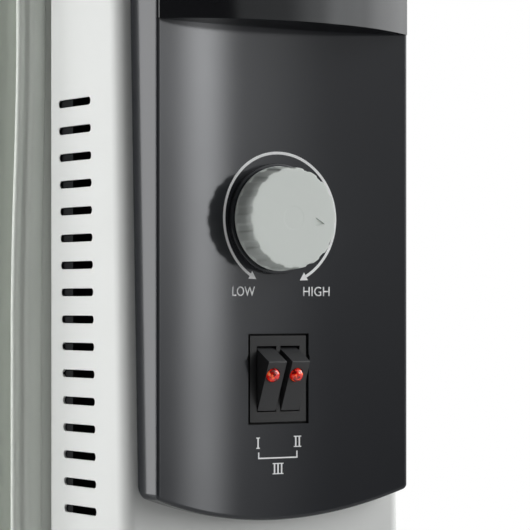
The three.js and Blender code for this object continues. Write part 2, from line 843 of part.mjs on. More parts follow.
// One rocker, about its own pivot: a long lower facet, a ridge near the top and a steep upper facet
function rockerGeometry() {
  const half = switchWindowWidth / 2 - seatGap;
  const end = switchWindowHeight / 2 - runGap;
  const bendDepth = (rockerSkirtDepth + rockerBellyDepth) / 2;
  const outline = [
    point(0, -end),
    point(-rockerRidgeProud, rockerRidgeAbove - rockerRidgeFlat),
    point(-rockerRidgeProud + rockerRidgeFlat / 2, rockerRidgeAbove + rockerRidgeFlat),
    point(rockerTopSunk, end),
    point(rockerSkirtDepth, end),
    point(bendDepth, end * rockerBendHalfShare),
    point(rockerBellyDepth, end * rockerBellyHalfShare),
    point(rockerBellyDepth, -end * rockerBellyHalfShare),
    point(bendDepth, -end * rockerBendHalfShare),
    point(rockerSkirtDepth, -end),
  ];
  const body = carrySide(outline.map((p) => point(p.x - rockerPivotDepth, p.y)), -half, half);
  const reach = half + seatGap + rockerPinReach;
  const pins = barrelX(rockerPinRadius, 0, 0, -reach, reach, smallSteps);
  const seat = placeLens(turned([
    [0, -lensSeatDepth],
    [lensRadius + seatGap, -lensSeatDepth],
    [lensRadius + seatGap, overrun],
    [0, overrun],
  ], roundSteps));
  return cut(join(body, pins), seat);
}

// The direction that the lower facet faces, as its lean below level
function facetLean() {
  const end = switchWindowHeight / 2 - runGap;
  return Math.atan2(rockerRidgeProud, end + rockerRidgeAbove - rockerRidgeFlat);
}

// Sets a piece that looks along +Z on the lower facet, just below the ridge and a little to the left
function placeLens(geometry) {
  const lean = facetLean();
  const down = lensBelowRidge;
  const y = -rockerRidgeProud - rockerPivotDepth + down * Math.sin(lean);
  const z = rockerRidgeAbove - rockerRidgeFlat - down * Math.cos(lean);
  return geometry.rotateX(Math.PI / 2 + lean).translate(-lensAside, y, z);
}

function lensGeometry() {
  const bottom = -lensSeatDepth + seatGap;
  return placeLens(turned([
    [0, bottom],
    [lensRadius, bottom],
    [lensRadius, 0],
    [lensRadius * lensShoulderShare, lensProud * lensCrownShare],
    [lensRadius * lensCrownShare, lensProud * lensShoulderShare],
    [0, lensProud],
  ], roundSteps));
}

// The knob about its own axis, pointing along +Z: fluted, slightly tapered, hollow behind, with a hub
function knobGeometry() {
  const count = knobFluteCount * knobPointsPerFlute;
  const outline = (radius, height) => Array.from({ length: count }, (_, i) => {
    const angle = (2 * Math.PI * i) / count;
    const depth = i % knobPointsPerFlute === 0 ? knobFluteDepth : 0;
    const r = radius - depth;
    return new THREE.Vector3(r * Math.cos(angle), r * Math.sin(angle), height);
  });
  const body = loft([
    outline(knobRadius, 0),
    outline(knobFaceRadius, knobDepth - knobEdgeBevel),
    outline(knobFaceRadius - knobEdgeBevel, knobDepth),
  ]);
  const inner = knobRadius - knobFluteDepth - knobWall;
  const hollow = turned([
    [knobHubRadius, -overrun],
    [inner, -overrun],
    [inner, knobDepth - knobWall],
    [knobHubRadius, knobDepth - knobWall],
    [knobHubRadius, -overrun],
  ], roundSteps * 2);
  const bore = turned([
    [0, -overrun],
    [shaftRadius + seatGap, -overrun],
    [shaftRadius + seatGap, shaftInKnob],
    [0, shaftInKnob],
  ]);
  return cut(body, hollow, bore);
}

function thermostatGeometry() {
  const front = plateFrontY + plateSheet + seatGap;
  const body = block(
    knobX - thermostatWidth / 2, knobX + thermostatWidth / 2, front, front + thermostatDepth,
    knobZ - thermostatHeight / 2, knobZ + thermostatHeight / 2,
  );
  const bushFront = plateFrontY - seatGap - nutThickness;
  const bush = barrelY(bushRadius, knobX, knobZ, bushFront, front + overrun);
  const way = barrelY(
    shaftRadius + seatGap, knobX, knobZ, bushFront - overrun, front + thermostatDepth / 2,
  );
  return cut(join(body, bush), way);
}

function nutGeometry() {
  const y1 = plateFrontY - seatGap;
  const y0 = y1 - nutThickness;
  const hex = barrelY(nutRadius, knobX, knobZ, y0, y1, hexSides);
  return cut(hex, barrelY(bushRadius + seatGap, knobX, knobZ, y0 - overrun, y1 + overrun));
}

// The thermostat's spindle, about the knob's axis, from inside the body to inside the knob
function shaftGeometry() {
  const tip = knobStandOff + shaftInKnob - seatGap;
  const root = -(plateFrontY + plateSheet + thermostatDepth / 2 - seatGap);
  const length = tip - root;
  return barrelZ(shaftRadius, 0, 0, root, root + length);
}

// The element: a threaded plug with two rods that run down the bored header, and its two pins
function elementGeometry() {
  const plugBack = firstFinY - finChannelHalf - gasketThickness - 2 * seatGap;
  const plugFront = plugBack - elementPlugThickness;
  const plug = barrelY(elementPlugRadius, 0, headerLowZ, plugFront, plugBack, hexSides);
  const neck = barrelY(headerBoreRadius - runGap, 0, headerLowZ, plugBack - overrun, firstFinY, smallSteps);
  const rodEnd = lastFinY - elementEndGap;
  const rods = [-1, 1].map((side) => (
    barrelY(
      elementRodRadius, (side * elementRodSpacing) / 2, headerLowZ, firstFinY - overrun, rodEnd, smallSteps,
    )
  ));
  const bridge = block(
    -elementRodSpacing / 2, elementRodSpacing / 2, rodEnd - elementRodRadius, rodEnd,
    headerLowZ - elementBridgeHalf, headerLowZ + elementBridgeHalf,
  );
  const pins = [-1, 1].map((side) => barrelY(
    elementPinRadius, (side * elementRodSpacing) / 2, headerLowZ,
    plugFront - elementPinLength, plugFront + overrun, smallSteps,
  ));
  return join(plug, neck, ...rods, bridge, ...pins);
}

function gasketGeometry() {
  const y1 = firstFinY - finChannelHalf - seatGap;
  const outer = headerBoreRadius + gasketWidth;
  const ring = barrelY(outer, 0, headerLowZ, y1 - gasketThickness, y1);
  const bore = barrelY(
    headerBoreRadius, 0, headerLowZ, y1 - gasketThickness - overrun, y1 + overrun, smallSteps,
  );
  return cut(ring, bore);
}

// A round thermal cut-out with its two tabs
function cutOutGeometry() {
  const y1 = backPlateFrontY - seatGap;
  const z = headerLowZ + cutOutAboveHeader;
  const can = barrelY(cutOutRadius, 0, z, y1 - cutOutDepth, y1);
  const half = cutOutTabWidth / 2;
  const tabs = [-1, 1].map((side) => block(
    side * cutOutRadius / 2 - half, side * cutOutRadius / 2 + half,
    y1 - 2 * cutOutDepth, y1 - cutOutDepth / 2, z - cutOutTabWidth, z + cutOutTabWidth,
  ));
  return join(can, ...tabs);
}

// A tip-over switch: a box with the open end of its pendulum bore below
function tipSwitchGeometry() {
  const y1 = backPlateFrontY - seatGap;
  const z = headerLowZ + tipSwitchAboveHeader;
  const x = tipSwitchX;
  const box = block(
    x - tipSwitchWidth / 2, x + tipSwitchWidth / 2, y1 - tipSwitchDepth, y1,
    z - tipSwitchHeight / 2, z + tipSwitchHeight / 2,
  );
  const bore = barrelZ(
    tipSwitchBore, x, y1 - tipSwitchDepth / 2, z - tipSwitchHeight / 2 - overrun, z,
  );
  return cut(box, bore);
}

function terminalBlockGeometry() {
  const y1 = backPlateFrontY - seatGap;
  const z = headerLowZ + blockAboveHeader;
  const box = block(
    -blockWidth / 2, blockWidth / 2, y1 - blockDepth, y1, z - blockHeight / 2, z + blockHeight / 2,
  );
  const ways = [];
  for (let i = 0; i < blockWays; i += 1) {
    const x = (i - (blockWays - 1) / 2) * (blockWidth / blockWays);
    const front = y1 - blockDepth;
    ways.push(barrelY(blockWayRadius, x, z, front - overrun, front + blockWayDepth, smallSteps));
  }
  return cut(box, ...ways);
}

// The oil filler plug in the rear end of the upper header: shank, disc and hexagon
function fillerGeometry() {
  const y0 = lastFinY + finChannelHalf + seatGap;
  const discEnd = y0 + fillerThickness;
  const shank = barrelY(
    headerBoreRadius - runGap, 0, headerHighZ, y0 - fillerShankLength, y0 + fillerThickness / 2, smallSteps,
  );
  const disc = barrelY(fillerRadius, 0, headerHighZ, y0, discEnd);
  const hex = barrelY(
    fillerHexRadius, 0, headerHighZ, y0 + fillerThickness / 2, discEnd + fillerHexThickness, hexSides,
  );
  return join(shank, disc, hex);
}

// A foot bracket about its own middle: a crown under the fins, ramps down to a pad over each castor
function bracketGeometry() {
  const crown = boltLegX + bracketCrownMargin;
  const pad = castorSpacing / 2 + bracketPadHalf;
  const top = [
    point(-pad, castorHeight + bracketSheet),
    point(-crown - bracketRamp, castorHeight + bracketSheet),
    point(-crown, castorHeight + bracketSheet + bracketRise),
  ];
  const upper = [...top, ...mirroredX(top)];
  const lower = upper.map((p) => point(p.x, p.y - bracketSheet)).reverse();
  const sheet = carryFront([...upper, ...lower], -bracketWidth / 2, bracketWidth / 2);
  const skirt = upper.map((p) => point(p.x, p.y - bracketFlange)).reverse();
  const flanges = [-1, 1].map((side) => {
    const y = (side * bracketWidth) / 2;
    return carryFront(
      [...upper, ...skirt], Math.min(y, y - side * bracketSheet), Math.max(y, y - side * bracketSheet),
    );
  });
  const holes = [-1, 1].flatMap((side) => [
    barrelZ(stemRadius + seatGap, (side * castorSpacing) / 2, 0, castorHeight - overrun,
      castorHeight + bracketSheet + overrun, stemSteps),
    barrelZ(boltRadius + seatGap, side * boltLegX, 0, castorHeight,
      castorHeight + bracketRise + bracketSheet + overrun, smallSteps),
  ]);
  return cut(join(sheet, ...flanges), ...holes);
}

// The U-bolt about the bracket's middle: over the header collar and down through the crown
function uBoltGeometry() {
  const low = castorHeight + bracketRise - boltBelowBracket;
  const path = new THREE.CurvePath();
  path.add(new THREE.LineCurve3(
    new THREE.Vector3(-boltLegX, 0, low), new THREE.Vector3(-boltLegX, 0, headerLowZ),
  ));
  path.add(new OverArch(boltLegX, headerLowZ));
  path.add(new THREE.LineCurve3(
    new THREE.Vector3(boltLegX, 0, headerLowZ), new THREE.Vector3(boltLegX, 0, low),
  ));
  const section = new THREE.Shape(arcPoints(0, 0, boltRadius, 0, 2 * Math.PI, smallSteps).slice(0, -1));
  return new THREE.ExtrudeGeometry(section, { extrudePath: path, steps: boltSteps, bevelEnabled: false });
}

// Half a circle in the x-z plane from -radius over the top to +radius
class OverArch extends THREE.Curve {
  constructor(radius, z) {
    super();
    this.radius = radius;
    this.z = z;
  }

  getPoint(t, target = new THREE.Vector3()) {
    const angle = Math.PI * (1 - t);
    return target.set(this.radius * Math.cos(angle), 0, this.z + this.radius * Math.sin(angle));
  }
}

// A wing nut about its own bore, with its wings along X below its seat at the origin
function wingNutGeometry() {
  const wing = [
    point(0, -wingNutHeight),
    point(wingReach, -wingNutHeight - wingRise),
    point(wingReach, -wingNutHeight * wingTipShare - wingRise),
    point(wingNutRadius, -wingNutHeight * wingRootShare),
    point(-wingNutRadius, -wingNutHeight * wingRootShare),
    point(-wingReach, -wingNutHeight * wingTipShare - wingRise),
    point(-wingReach, -wingNutHeight - wingRise),
  ];
  const hub = barrelZ(wingNutRadius, 0, 0, -wingNutHeight, 0, smallSteps);
  const wings = carryFront(wing, -wingThickness / 2, wingThickness / 2);
  const bore = barrelZ(boltRadius + seatGap, 0, 0, -wingNutHeight - wingRise - overrun, overrun, smallSteps);
  return cut(join(hub, wings), bore);
}

// A castor wheel about its axle, along X
function wheelGeometry() {
  const half = wheelWidth / 2;
  const bore = axleRadius + seatGap;
  return turned([
    [bore, -half],
    [wheelHubRadius, -half],
    [wheelRadius - wheelRimWidth, -half + wheelDish],
    [wheelRadius, -half + wheelShoulder],
    [wheelRadius, half - wheelShoulder],
    [wheelRadius - wheelRimWidth, half - wheelDish],
    [wheelHubRadius, half],
    [bore, half],
    [bore, -half],
  ], wheelSteps).rotateZ(Math.PI / wheelSteps).rotateY(Math.PI / 2);
}

// A castor fork about its stem, with the axle trailing behind along +Y
function forkGeometry() {
  const half = wheelWidth / 2 + runGap + seatGap;
  const under = castorHeight - seatGap - forkPlateThickness;
  const plate = barrelZ(forkPlateRadius, 0, 0, under, castorHeight - seatGap);
  const stemTop = castorHeight + stemAbove;
  const stem = barrelZ(stemRadius, 0, 0, castorHeight - forkPlateThickness, stemTop, stemSteps);
  const cheek = [
    point(-forkPlateRadius + forkCheek, castorHeight - seatGap),
    point(-forkPlateRadius + forkCheek, under),
    ...arcPoints(castorTrail, wheelCentreZ, forkBossRadius, Math.PI, 2 * Math.PI, cornerSteps),
    point(castorTrail + forkBossRadius, under),
    point(castorTrail + forkBossRadius, castorHeight - seatGap),
  ];
  const cheeks = [
    carrySide(cheek, -half - forkCheek, -half),
    carrySide(cheek, half, half + forkCheek),
  ];
  const roof = block(
    -half - forkCheek, half + forkCheek, -forkPlateRadius + forkCheek, castorTrail + forkBossRadius,
    under, castorHeight - seatGap,
  );
  const reach = half + forkCheek + overrun;
  const hole = barrelX(axleRadius + seatGap, castorTrail, wheelCentreZ, -reach, reach, smallSteps);
  return cut(join(plate, stem, roof, ...cheeks), hole);
}

// The castor axle, riveted outside both cheeks
function axleGeometry() {
  const face = wheelWidth / 2 + runGap + forkCheek + 2 * seatGap;
  const end = face + axleHeadThickness;
  return turned([
    [0, -end],
    [axleHeadRadius, -end],
    [axleHeadRadius, -face],
    [axleRadius, -face],
    [axleRadius, face],
    [axleHeadRadius, face],
    [axleHeadRadius, end],
    [0, end],
  ], smallSteps).rotateY(Math.PI / 2);
}

const group = new THREE.Group();

function place(name, geometry, finish, x = 0, y = 0, z = 0, parent = group) {
  const mesh = new THREE.Mesh(geometry, new THREE.MeshStandardMaterial(finish));
  mesh.name = name;
  mesh.position.set(x, y, z);
  parent.add(mesh);
  return mesh;
}

function placeFins() {
  const middleZ = (finBottomZ + finTopZ) / 2;
  for (let i = 0; i < finCount; i += 1) {
    place(`fin_${i + 1}`, finGeometry(), finishes.fin, 0, firstFinY + i * finPitch, middleZ);
  }
  const front = firstFinY - finChannelHalf - overrun;
  const rear = lastFinY + finChannelHalf + overrun;
  place('header_lower', headerGeometry(front, lastFinY), finishes.fin, 0, 0, headerLowZ);
  place('header_upper', headerGeometry(firstFinY, rear), finishes.fin, 0, 0, headerHighZ);
}

function placeHousing() {
  place('control_casing', casingGeometry(), finishes.casing);
  place('casing_back_plate', backPlateGeometry(), finishes.steel);
  place('casing_bottom_cover', bottomCoverGeometry(), finishes.dark);
  place('lead_inlet_bush', inletGeometry(), finishes.rubber, 0, inletY(), 0);
  place('control_panel', panelGeometry(), finishes.black);
  place('mounting_plate', mountingPlateGeometry(), finishes.steel);
  place('top_handle', handleGeometry(), finishes.black);
  screwHoleSpots().forEach(([side, y, z], i) => {
    const x = side * (casingWidth / 2 + seatGap);
    const screw = screwGeometry(casingScrewLength).rotateY((side * Math.PI) / 2);
    place(`casing_screw_${i + 1}`, screw, finishes.steel, x, y, z);
  });
}

function placeControls() {
  place('switch_housing', switchHousingGeometry(), finishes.dark);
  [-1, 1].forEach((side, i) => {
    const x = rockerX(side);
    place(`rocker_${i + 1}`, rockerGeometry(), finishes.dark, x, rockerPivotDepth, switchZ);
    place(`rocker_lens_${i + 1}`, lensGeometry(), finishes.lens, x, rockerPivotDepth, switchZ);
  });
  place('thermostat_body', thermostatGeometry(), finishes.ceramic);
  place('thermostat_nut', nutGeometry(), finishes.brass);
  const dial = new THREE.Group();
  dial.position.set(knobX, 0, knobZ);
  dial.rotation.x = Math.PI / 2;
  group.add(dial);
  place('thermostat_shaft', shaftGeometry(), finishes.steel, 0, 0, 0, dial);
  place('thermostat_knob', knobGeometry(), finishes.knob, 0, 0, knobStandOff, dial);
}

function placeHeating() {
  place('heating_element', elementGeometry(), finishes.steel);
  place('element_gasket', gasketGeometry(), finishes.rubber);
  place('thermal_cut_out', cutOutGeometry(), finishes.dark);
  place('tip_over_switch', tipSwitchGeometry(), finishes.dark);
  place('terminal_block', terminalBlockGeometry(), finishes.ceramic);
  place('oil_filler_plug', fillerGeometry(), finishes.brass);
}

function placeFeet() {
  const nutZ = castorHeight + bracketRise - seatGap;
  bracketYs.forEach((y, i) => {
    const end = i === 0 ? 'front' : 'rear';
    place(`foot_bracket_${end}`, bracketGeometry(), finishes.casing, 0, y, 0);
    place(`u_bolt_${end}`, uBoltGeometry(), finishes.steel, 0, y, 0);
    [-1, 1].forEach((side, j) => {
      place(`wing_nut_${end}_${j + 1}`, wingNutGeometry(), finishes.steel, side * boltLegX, y, nutZ);
      placeCastor(`${end}_${j + 1}`, (side * castorSpacing) / 2, y, i === 0 ? -1 : 1);
    });
  });
}

function placeCastor(name, x, y, way) {
  const castor = new THREE.Group();
  castor.position.set(x, y, 0);
  castor.rotation.z = way < 0 ? Math.PI : 0;
  group.add(castor);
  place(`castor_fork_${name}`, forkGeometry(), finishes.black, 0, 0, 0, castor);
  place(`castor_wheel_${name}`, wheelGeometry(), finishes.dark, 0, castorTrail, wheelCentreZ, castor);
  place(`castor_axle_${name}`, axleGeometry(), finishes.steel, 0, castorTrail, wheelCentreZ, castor);
}

placeFins();
placeHousing();
placeControls();
placeHeating();
placeFeet();

// The frame's origin is on the floor under the middle of the whole heater
const bounds = new THREE.Box3().setFromObject(group);
group.position.y = -(bounds.min.y + bounds.max.y) / 2;

export default group;
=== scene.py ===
"""Looks of an oil filled radiator heater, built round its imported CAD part.

All pieces are in metres in the part's own frame. Sizes in the classes are in millimetres, measured from the
face of the double switch: x across, y back into the heater, z up from the middle of the switch.
"""

import logging
import math
from dataclasses import dataclass, field
from enum import Enum

import bmesh
import bpy
import numpy as np
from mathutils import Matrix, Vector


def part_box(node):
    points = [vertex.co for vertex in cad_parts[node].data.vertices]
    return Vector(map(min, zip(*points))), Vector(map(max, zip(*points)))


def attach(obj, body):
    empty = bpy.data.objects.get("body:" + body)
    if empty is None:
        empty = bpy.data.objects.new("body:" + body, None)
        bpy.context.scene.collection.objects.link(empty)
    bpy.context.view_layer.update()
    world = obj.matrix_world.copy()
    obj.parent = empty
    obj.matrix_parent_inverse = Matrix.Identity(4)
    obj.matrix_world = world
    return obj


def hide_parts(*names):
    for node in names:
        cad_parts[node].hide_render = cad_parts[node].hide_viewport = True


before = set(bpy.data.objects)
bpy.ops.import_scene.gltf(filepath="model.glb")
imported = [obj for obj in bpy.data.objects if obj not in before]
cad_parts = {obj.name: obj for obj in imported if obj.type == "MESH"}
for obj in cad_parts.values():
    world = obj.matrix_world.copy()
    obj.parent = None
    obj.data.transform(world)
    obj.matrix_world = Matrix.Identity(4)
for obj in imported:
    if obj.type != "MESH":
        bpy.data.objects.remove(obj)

Piece = bpy.types.Object
Tree = bpy.types.NodeTree
Node = bpy.types.Node
Socket = bpy.types.NodeSocket
Array = np.ndarray
Pair = tuple[float, float]
Triple = tuple[float, float, float]
Colour = Triple
Source = Socket | float | tuple[float, ...]
Outline = tuple[Pair, ...]

log = logging.getLogger("heater")
BODY = "radiator"

# A millimetre in metres
MM = 0.001

# Distances in millimetres and angles in degrees
WELD = 0.004
CAD_WELD = 0.01
CAD_FLAT = 1.0
SOFTENED_SHARP = 40.0

# A share of the welding distance, and a setting of the normals' weights
SHORT_EDGE = 0.1
AREA_WEIGHT = 100


class End(Enum):
    """The two ends of the heater that carry a foot bracket."""

    FRONT = "front"
    REAR = "rear"


class Side(Enum):
    """Left is towards -X as the panel is faced, right towards +X."""

    LEFT = -1
    RIGHT = 1

    @property
    def index(self) -> int:
        """The number that ends the names of this side's nodes."""
        return 1 if self is Side.LEFT else 2


class Boolean(Enum):
    """What happens to a piece where other solids meet it."""

    CUT = "DIFFERENCE"
    JOIN = "UNION"


class Kind(Enum):
    """What a shader socket carries: its type, and its name and rank in a Mix node."""

    NUMBER = ("NodeSocketFloat", "FLOAT", 0)
    COLOUR = ("NodeSocketColor", "RGBA", 2)


def datum() -> Array:
    """The middle of the switch's face in metres, from the CAD part."""
    low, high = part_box("switch_housing")
    return np.array([0.0, low.y, (low.z + high.z) / 2])


ORIGIN = datum()


def node_box(name: str) -> tuple[Array, Array]:
    """The box of a CAD node in millimetres from the switch.

    Args:
        name: the node's name.

    Returns:
        Its lowest and highest corners.
    """
    low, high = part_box(name)
    return (np.array(low) - ORIGIN) / MM, (np.array(high) - ORIGIN) / MM


def node_middle(name: str) -> Array:
    """The middle of a CAD node's box in millimetres from the switch."""
    low, high = node_box(name)
    return (low + high) / 2


def knob_axis() -> Pair:
    """Where the knob's axis crosses the panel, as x and z."""
    x, _, z = node_middle("thermostat_shaft").tolist()
    return x, z


# Shapes


class Skin:
    """Gathers grids of points and flat lids into one mesh."""

    def __init__(self) -> None:
        """Starts with no points."""
        self.points: list[Array] = []
        self.faces: list[list[int]] = []
        self.count = 0

    def sheet(self, grid: Array, wrap: bool = False) -> "Skin":
        """Adds the quads between neighbouring rows and columns of a grid.

        Args:
            grid: points of shape (rows, columns, 3).
            wrap: joins the last column to the first.

        Returns:
            This skin.
        """
        rows, cols = grid.shape[:2]
        index = self.count + np.arange(rows * cols).reshape(rows, cols)
        if wrap:
            index = np.concatenate([index, index[:, :1]], axis=1)
        quads = np.stack([index[:-1, :-1], index[:-1, 1:], index[1:, 1:], index[1:, :-1]], axis=-1)
        self.points.append(grid.reshape(-1, 3))
        self.faces.extend(quads.reshape(-1, 4).tolist())
        self.count += rows * cols
        return self

    def lid(self, ring: Array) -> "Skin":
        """Adds one flat face over a ring.

        Args:
            ring: points of shape (n, 3).

        Returns:
            This skin.
        """
        self.points.append(ring)
        self.faces.append(list(range(self.count, self.count + len(ring))))
        self.count += len(ring)
        return self

    def tube(self, rings: Array) -> "Skin":
        """Adds rings of shape (rings, n, 3) joined into a tube, with a lid at each end."""
        return self.sheet(rings, wrap=True).lid(rings[0]).lid(rings[-1])

    def slab(self, front: Array, back: Array) -> "Skin":
        """Adds two grids of the same shape and the four walls between their rims.

        Args:
            front: points of shape (rows, columns, 3).
            back: as many points.

        Returns:
            This skin.
        """
        self.sheet(front).sheet(back)
        for rim in (np.s_[0, :], np.s_[-1, :], np.s_[:, 0], np.s_[:, -1]):
            self.sheet(np.stack([front[rim], back[rim]]))
        return self

    def build(self, name: str, weld: float = WELD) -> Piece:
        """Makes the mesh object, welded, closed and facing outwards, its points moved to the part's frame.

        Args:
            name: the object's name.
            weld: points nearer than this many millimetres become one.

        Returns:
            The new object, at the origin.
        """
        points = np.concatenate(self.points) * MM + ORIGIN
        mesh = bpy.data.meshes.new(name)
        mesh.from_pydata(points.tolist(), [], self.faces)
        return object_of(mesh, name, weld * MM)


def place(name: str, data: bpy.types.ID) -> Piece:
    """A new object that shows some data, linked into the scene.

    Args:
        name: the object's name.
        data: its mesh, curve or camera.

    Returns:
        The object.
    """
    item = bpy.data.objects.new(name, data)
    bpy.context.scene.collection.objects.link(item)
    return item


def object_of(mesh: bpy.types.Mesh, name: str, weld: float) -> Piece:
    """Welds a mesh, turns its faces outwards and puts it in the scene.

    Args:
        mesh: the mesh.
        name: the object's name.
        weld: points nearer than this many metres become one.

    Returns:
        The object.
    """
    work = bmesh.new()
    work.from_mesh(mesh)
    bmesh.ops.remove_doubles(work, verts=work.verts, dist=weld)
    bmesh.ops.dissolve_degenerate(work, edges=work.edges, dist=weld * SHORT_EDGE)
    bmesh.ops.recalc_face_normals(work, faces=work.faces)
    work.to_mesh(mesh)
    work.free()
    return place(name, mesh)


def smooth(item: Piece, angle: float = 35.0) -> Piece:
    """Shades a piece smooth, with sharp edges where two faces meet at more than an angle in degrees.

    Each corner's normal is the mean of its faces' normals weighted by their areas, so that a broad face stays
    flat beside its narrow rounded edge.

    Args:
        item: the piece.
        angle: the least angle of a sharp edge.

    Returns:
        The piece.
    """
    mesh = item.data
    mesh.polygons.foreach_set("use_smooth", np.ones(len(mesh.polygons), bool))
    mesh.set_sharp_from_angle(angle=math.radians(angle))
    step = item.modifiers.new("normals", "WEIGHTED_NORMAL")
    step.mode = "FACE_AREA"
    step.weight = AREA_WEIGHT
    step.keep_sharp = True
    return settle(item)


def settled_mesh(item: Piece) -> bpy.types.Mesh:
    """A new mesh of what an object shows with its modifiers.

    Args:
        item: the object.

    Returns:
        The mesh.
    """
    bpy.context.view_layer.update()
    graph = bpy.context.evaluated_depsgraph_get()
    return bpy.data.meshes.new_from_object(item.evaluated_get(graph))


def settle(item: Piece) -> Piece:
    """Puts the result of a piece's modifiers into its mesh.

    Args:
        item: the piece.

    Returns:
        The piece.
    """
    mesh = settled_mesh(item)
    item.modifiers.clear()
    item.data = mesh
    return item


def carve(item: Piece, *others: Piece, how: Boolean = Boolean.CUT) -> Piece:
    """Cuts solids out of a piece, or joins them to it, and removes them.

    Args:
        item: the piece.
        others: closed meshes.
        how: what happens where they meet the piece.

    Returns:
        The piece.
    """
    for other in others:
        step = item.modifiers.new("solids", "BOOLEAN")
        step.operation = how.value
        step.solver = "EXACT"
        step.object = other
    settle(item)
    for other in others:
        bpy.data.objects.remove(other)
    return item


def soften(item: Piece, width: float, segments: int = 3, angle: float = 30.0) -> Piece:
    """Rounds the edges of a piece that are sharper than an angle.

    Args:
        item: the piece.
        width: how far the rounding reaches from the edge, in millimetres.
        segments: steps across the rounding.
        angle: edges flatter than this many degrees are left.

    Returns:
        The piece.
    """
    step = item.modifiers.new("edges", "BEVEL")
    step.width = width * MM
    step.segments = segments
    step.limit_method = "ANGLE"
    step.angle_limit = math.radians(angle)
    step.use_clamp_overlap = True
    step.harden_normals = False
    return smooth(settle(item), SOFTENED_SHARP)


def ease(value: Array) -> Array:
    """A smooth step: t squared times 3 less 2 t, where t is the value held between 0 and 1."""
    share = np.clip(value, 0, 1)
    return share * share * (3 - 2 * share)


def turns(steps: int) -> Array:
    """Angles of a full circle in equal steps, in radians, without the last one."""
    return np.linspace(0, 2 * np.pi, steps, endpoint=False)


def arc(cx: float, cy: float, radius: float, start: float, end: float, steps: int) -> Array:
    """Points round a circle between two angles in degrees, both ends included, of shape (steps + 1, 2)."""
    angle = np.radians(np.linspace(start, end, steps + 1))
    return np.stack([cx + radius * np.cos(angle), cy + radius * np.sin(angle)], axis=1)


def direction(angle: float) -> Array:
    """The unit vector at an angle in degrees."""
    return np.array([math.cos(math.radians(angle)), math.sin(math.radians(angle))])


def bow_rise(x: Array, half: float, rise: float) -> Array:
    """Height at x of a circle's arc through (-half, 0), (0, rise) and (half, 0).

    Args:
        x: where.
        half: half the chord.
        rise: height in the middle, which may be negative.

    Returns:
        The heights.
    """
    radius = (half * half + rise * rise) / (2 * abs(rise))
    inside = np.clip(radius * radius - x * x, 0, None)
    return np.sign(rise) * (np.sqrt(inside) - radius + abs(rise))


def mirrored(right: Array) -> Array:
    """An outline's right half, of points (x, level), followed by its mirror image in reverse."""
    return np.concatenate([right, right[::-1] * np.array([-1, 1])])


def stadium(length: float, height: float, steps: int) -> Array:
    """A level slot's outline with round ends about the origin, of shape (n, 2).

    Args:
        length: the whole length.
        height: the whole height.
        steps: steps round each end.

    Returns:
        The points.
    """
    radius = height / 2
    reach = length / 2 - radius
    return np.concatenate([arc(reach, 0, radius, -90, 90, steps), arc(-reach, 0, radius, 90, 270, steps)])


def rounded(width: float, height: float, radius: float, steps: int) -> Array:
    """A rectangle's outline with round corners about the origin, of shape (n, 2).

    Args:
        width: the whole width.
        height: the whole height.
        radius: radius of the corners.
        steps: steps round each corner.

    Returns:
        The points.
    """
    x, y = width / 2 - radius, height / 2 - radius
    corners = ((x, y), (-x, y), (-x, -y), (x, -y))
    return np.concatenate([arc(*corner, radius, 90 * quarter, 90 * quarter + 90, steps)
                           for quarter, corner in enumerate(corners)])


def prism(name: str, outline: Array, axis: str, start: float, end: float) -> Piece:
    """An outline carried straight along an axis.

    Args:
        name: the object's name.
        outline: points of shape (n, 2): (y, z) along x, (x, z) along y, (x, y) along z.
        axis: "x", "y" or "z".
        start: where it begins on the axis.
        end: where it ends.

    Returns:
        The closed solid.
    """
    return Skin().tube(carried(outline, axis, start, end)).build(name)


def carried(outline: Array, axis: str, *levels: float) -> Array:
    """An outline of shape (n, 2) at some levels of an axis, as rings of shape (levels, n, 3)."""
    return np.stack([np.insert(outline, "xyz".index(axis), level, axis=1) for level in levels])


def turned(name: str, profile: Array | Outline, centre: Triple, axis: str,
           steps: int = 64) -> Piece:
    """A profile of radii and heights turned about an axis.

    Each point is the centre, plus its radius around the axis, plus its height along it.

    Args:
        name: the object's name.
        profile: points (radius, height).
        centre: where height 0 of the axis lies.
        axis: "x", "y" or "z".
        steps: number of steps round.

    Returns:
        The solid, closed where the profile begins and ends on the axis.
    """
    angle = turns(steps)
    radius, height = np.hsplit(np.array(profile, float), 2)
    across, up = radius * np.cos(angle), radius * np.sin(angle)
    along = np.broadcast_to(height, across.shape)
    parts = {"x": (along, across, up), "y": (across, along, up), "z": (across, up, along)}[axis]
    return Skin().sheet(np.stack(parts, axis=-1) + np.array(centre), wrap=True).build(name)


def pipe(name: str, path: Array, radius: float, steps: int = 20) -> Piece:
    """A round bar along a path that lies in a plane of constant y.

    Each ring is the path's point plus radius times the y direction and the path's normal in that plane.

    Args:
        name: the object's name.
        path: points of shape (n, 3).
        radius: the bar's radius.
        steps: number of steps round.

    Returns:
        The closed bar.
    """
    run = np.gradient(path, axis=0)
    run /= np.linalg.norm(run, axis=1, keepdims=True)
    normal = np.stack([-run[:, 2], np.zeros(len(run)), run[:, 0]], axis=1)
    angle = turns(steps)[None, :, None]
    side = np.array([0.0, 1.0, 0.0])
    grid = path[:, None] + radius * (np.cos(angle) * normal[:, None] + np.sin(angle) * side)
    return Skin().tube(grid).build(name)


def copied(node: str, name: str) -> Piece:
    """A copy of a CAD node's mesh with its doubles merged and its flat faces whole, ready for rounding.

    Args:
        node: the CAD node.
        name: the new piece's name.

    Returns:
        The new piece.
    """
    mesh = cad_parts[node].data.copy()
    mesh.name = name
    work = bmesh.new()
    work.from_mesh(mesh)
    bmesh.ops.remove_doubles(work, verts=work.verts, dist=CAD_WELD * MM)
    bmesh.ops.dissolve_limit(work, angle_limit=math.radians(CAD_FLAT), verts=work.verts, edges=work.edges)
    work.to_mesh(mesh)
    work.free()
    mesh.materials.clear()
    return place(name, mesh)


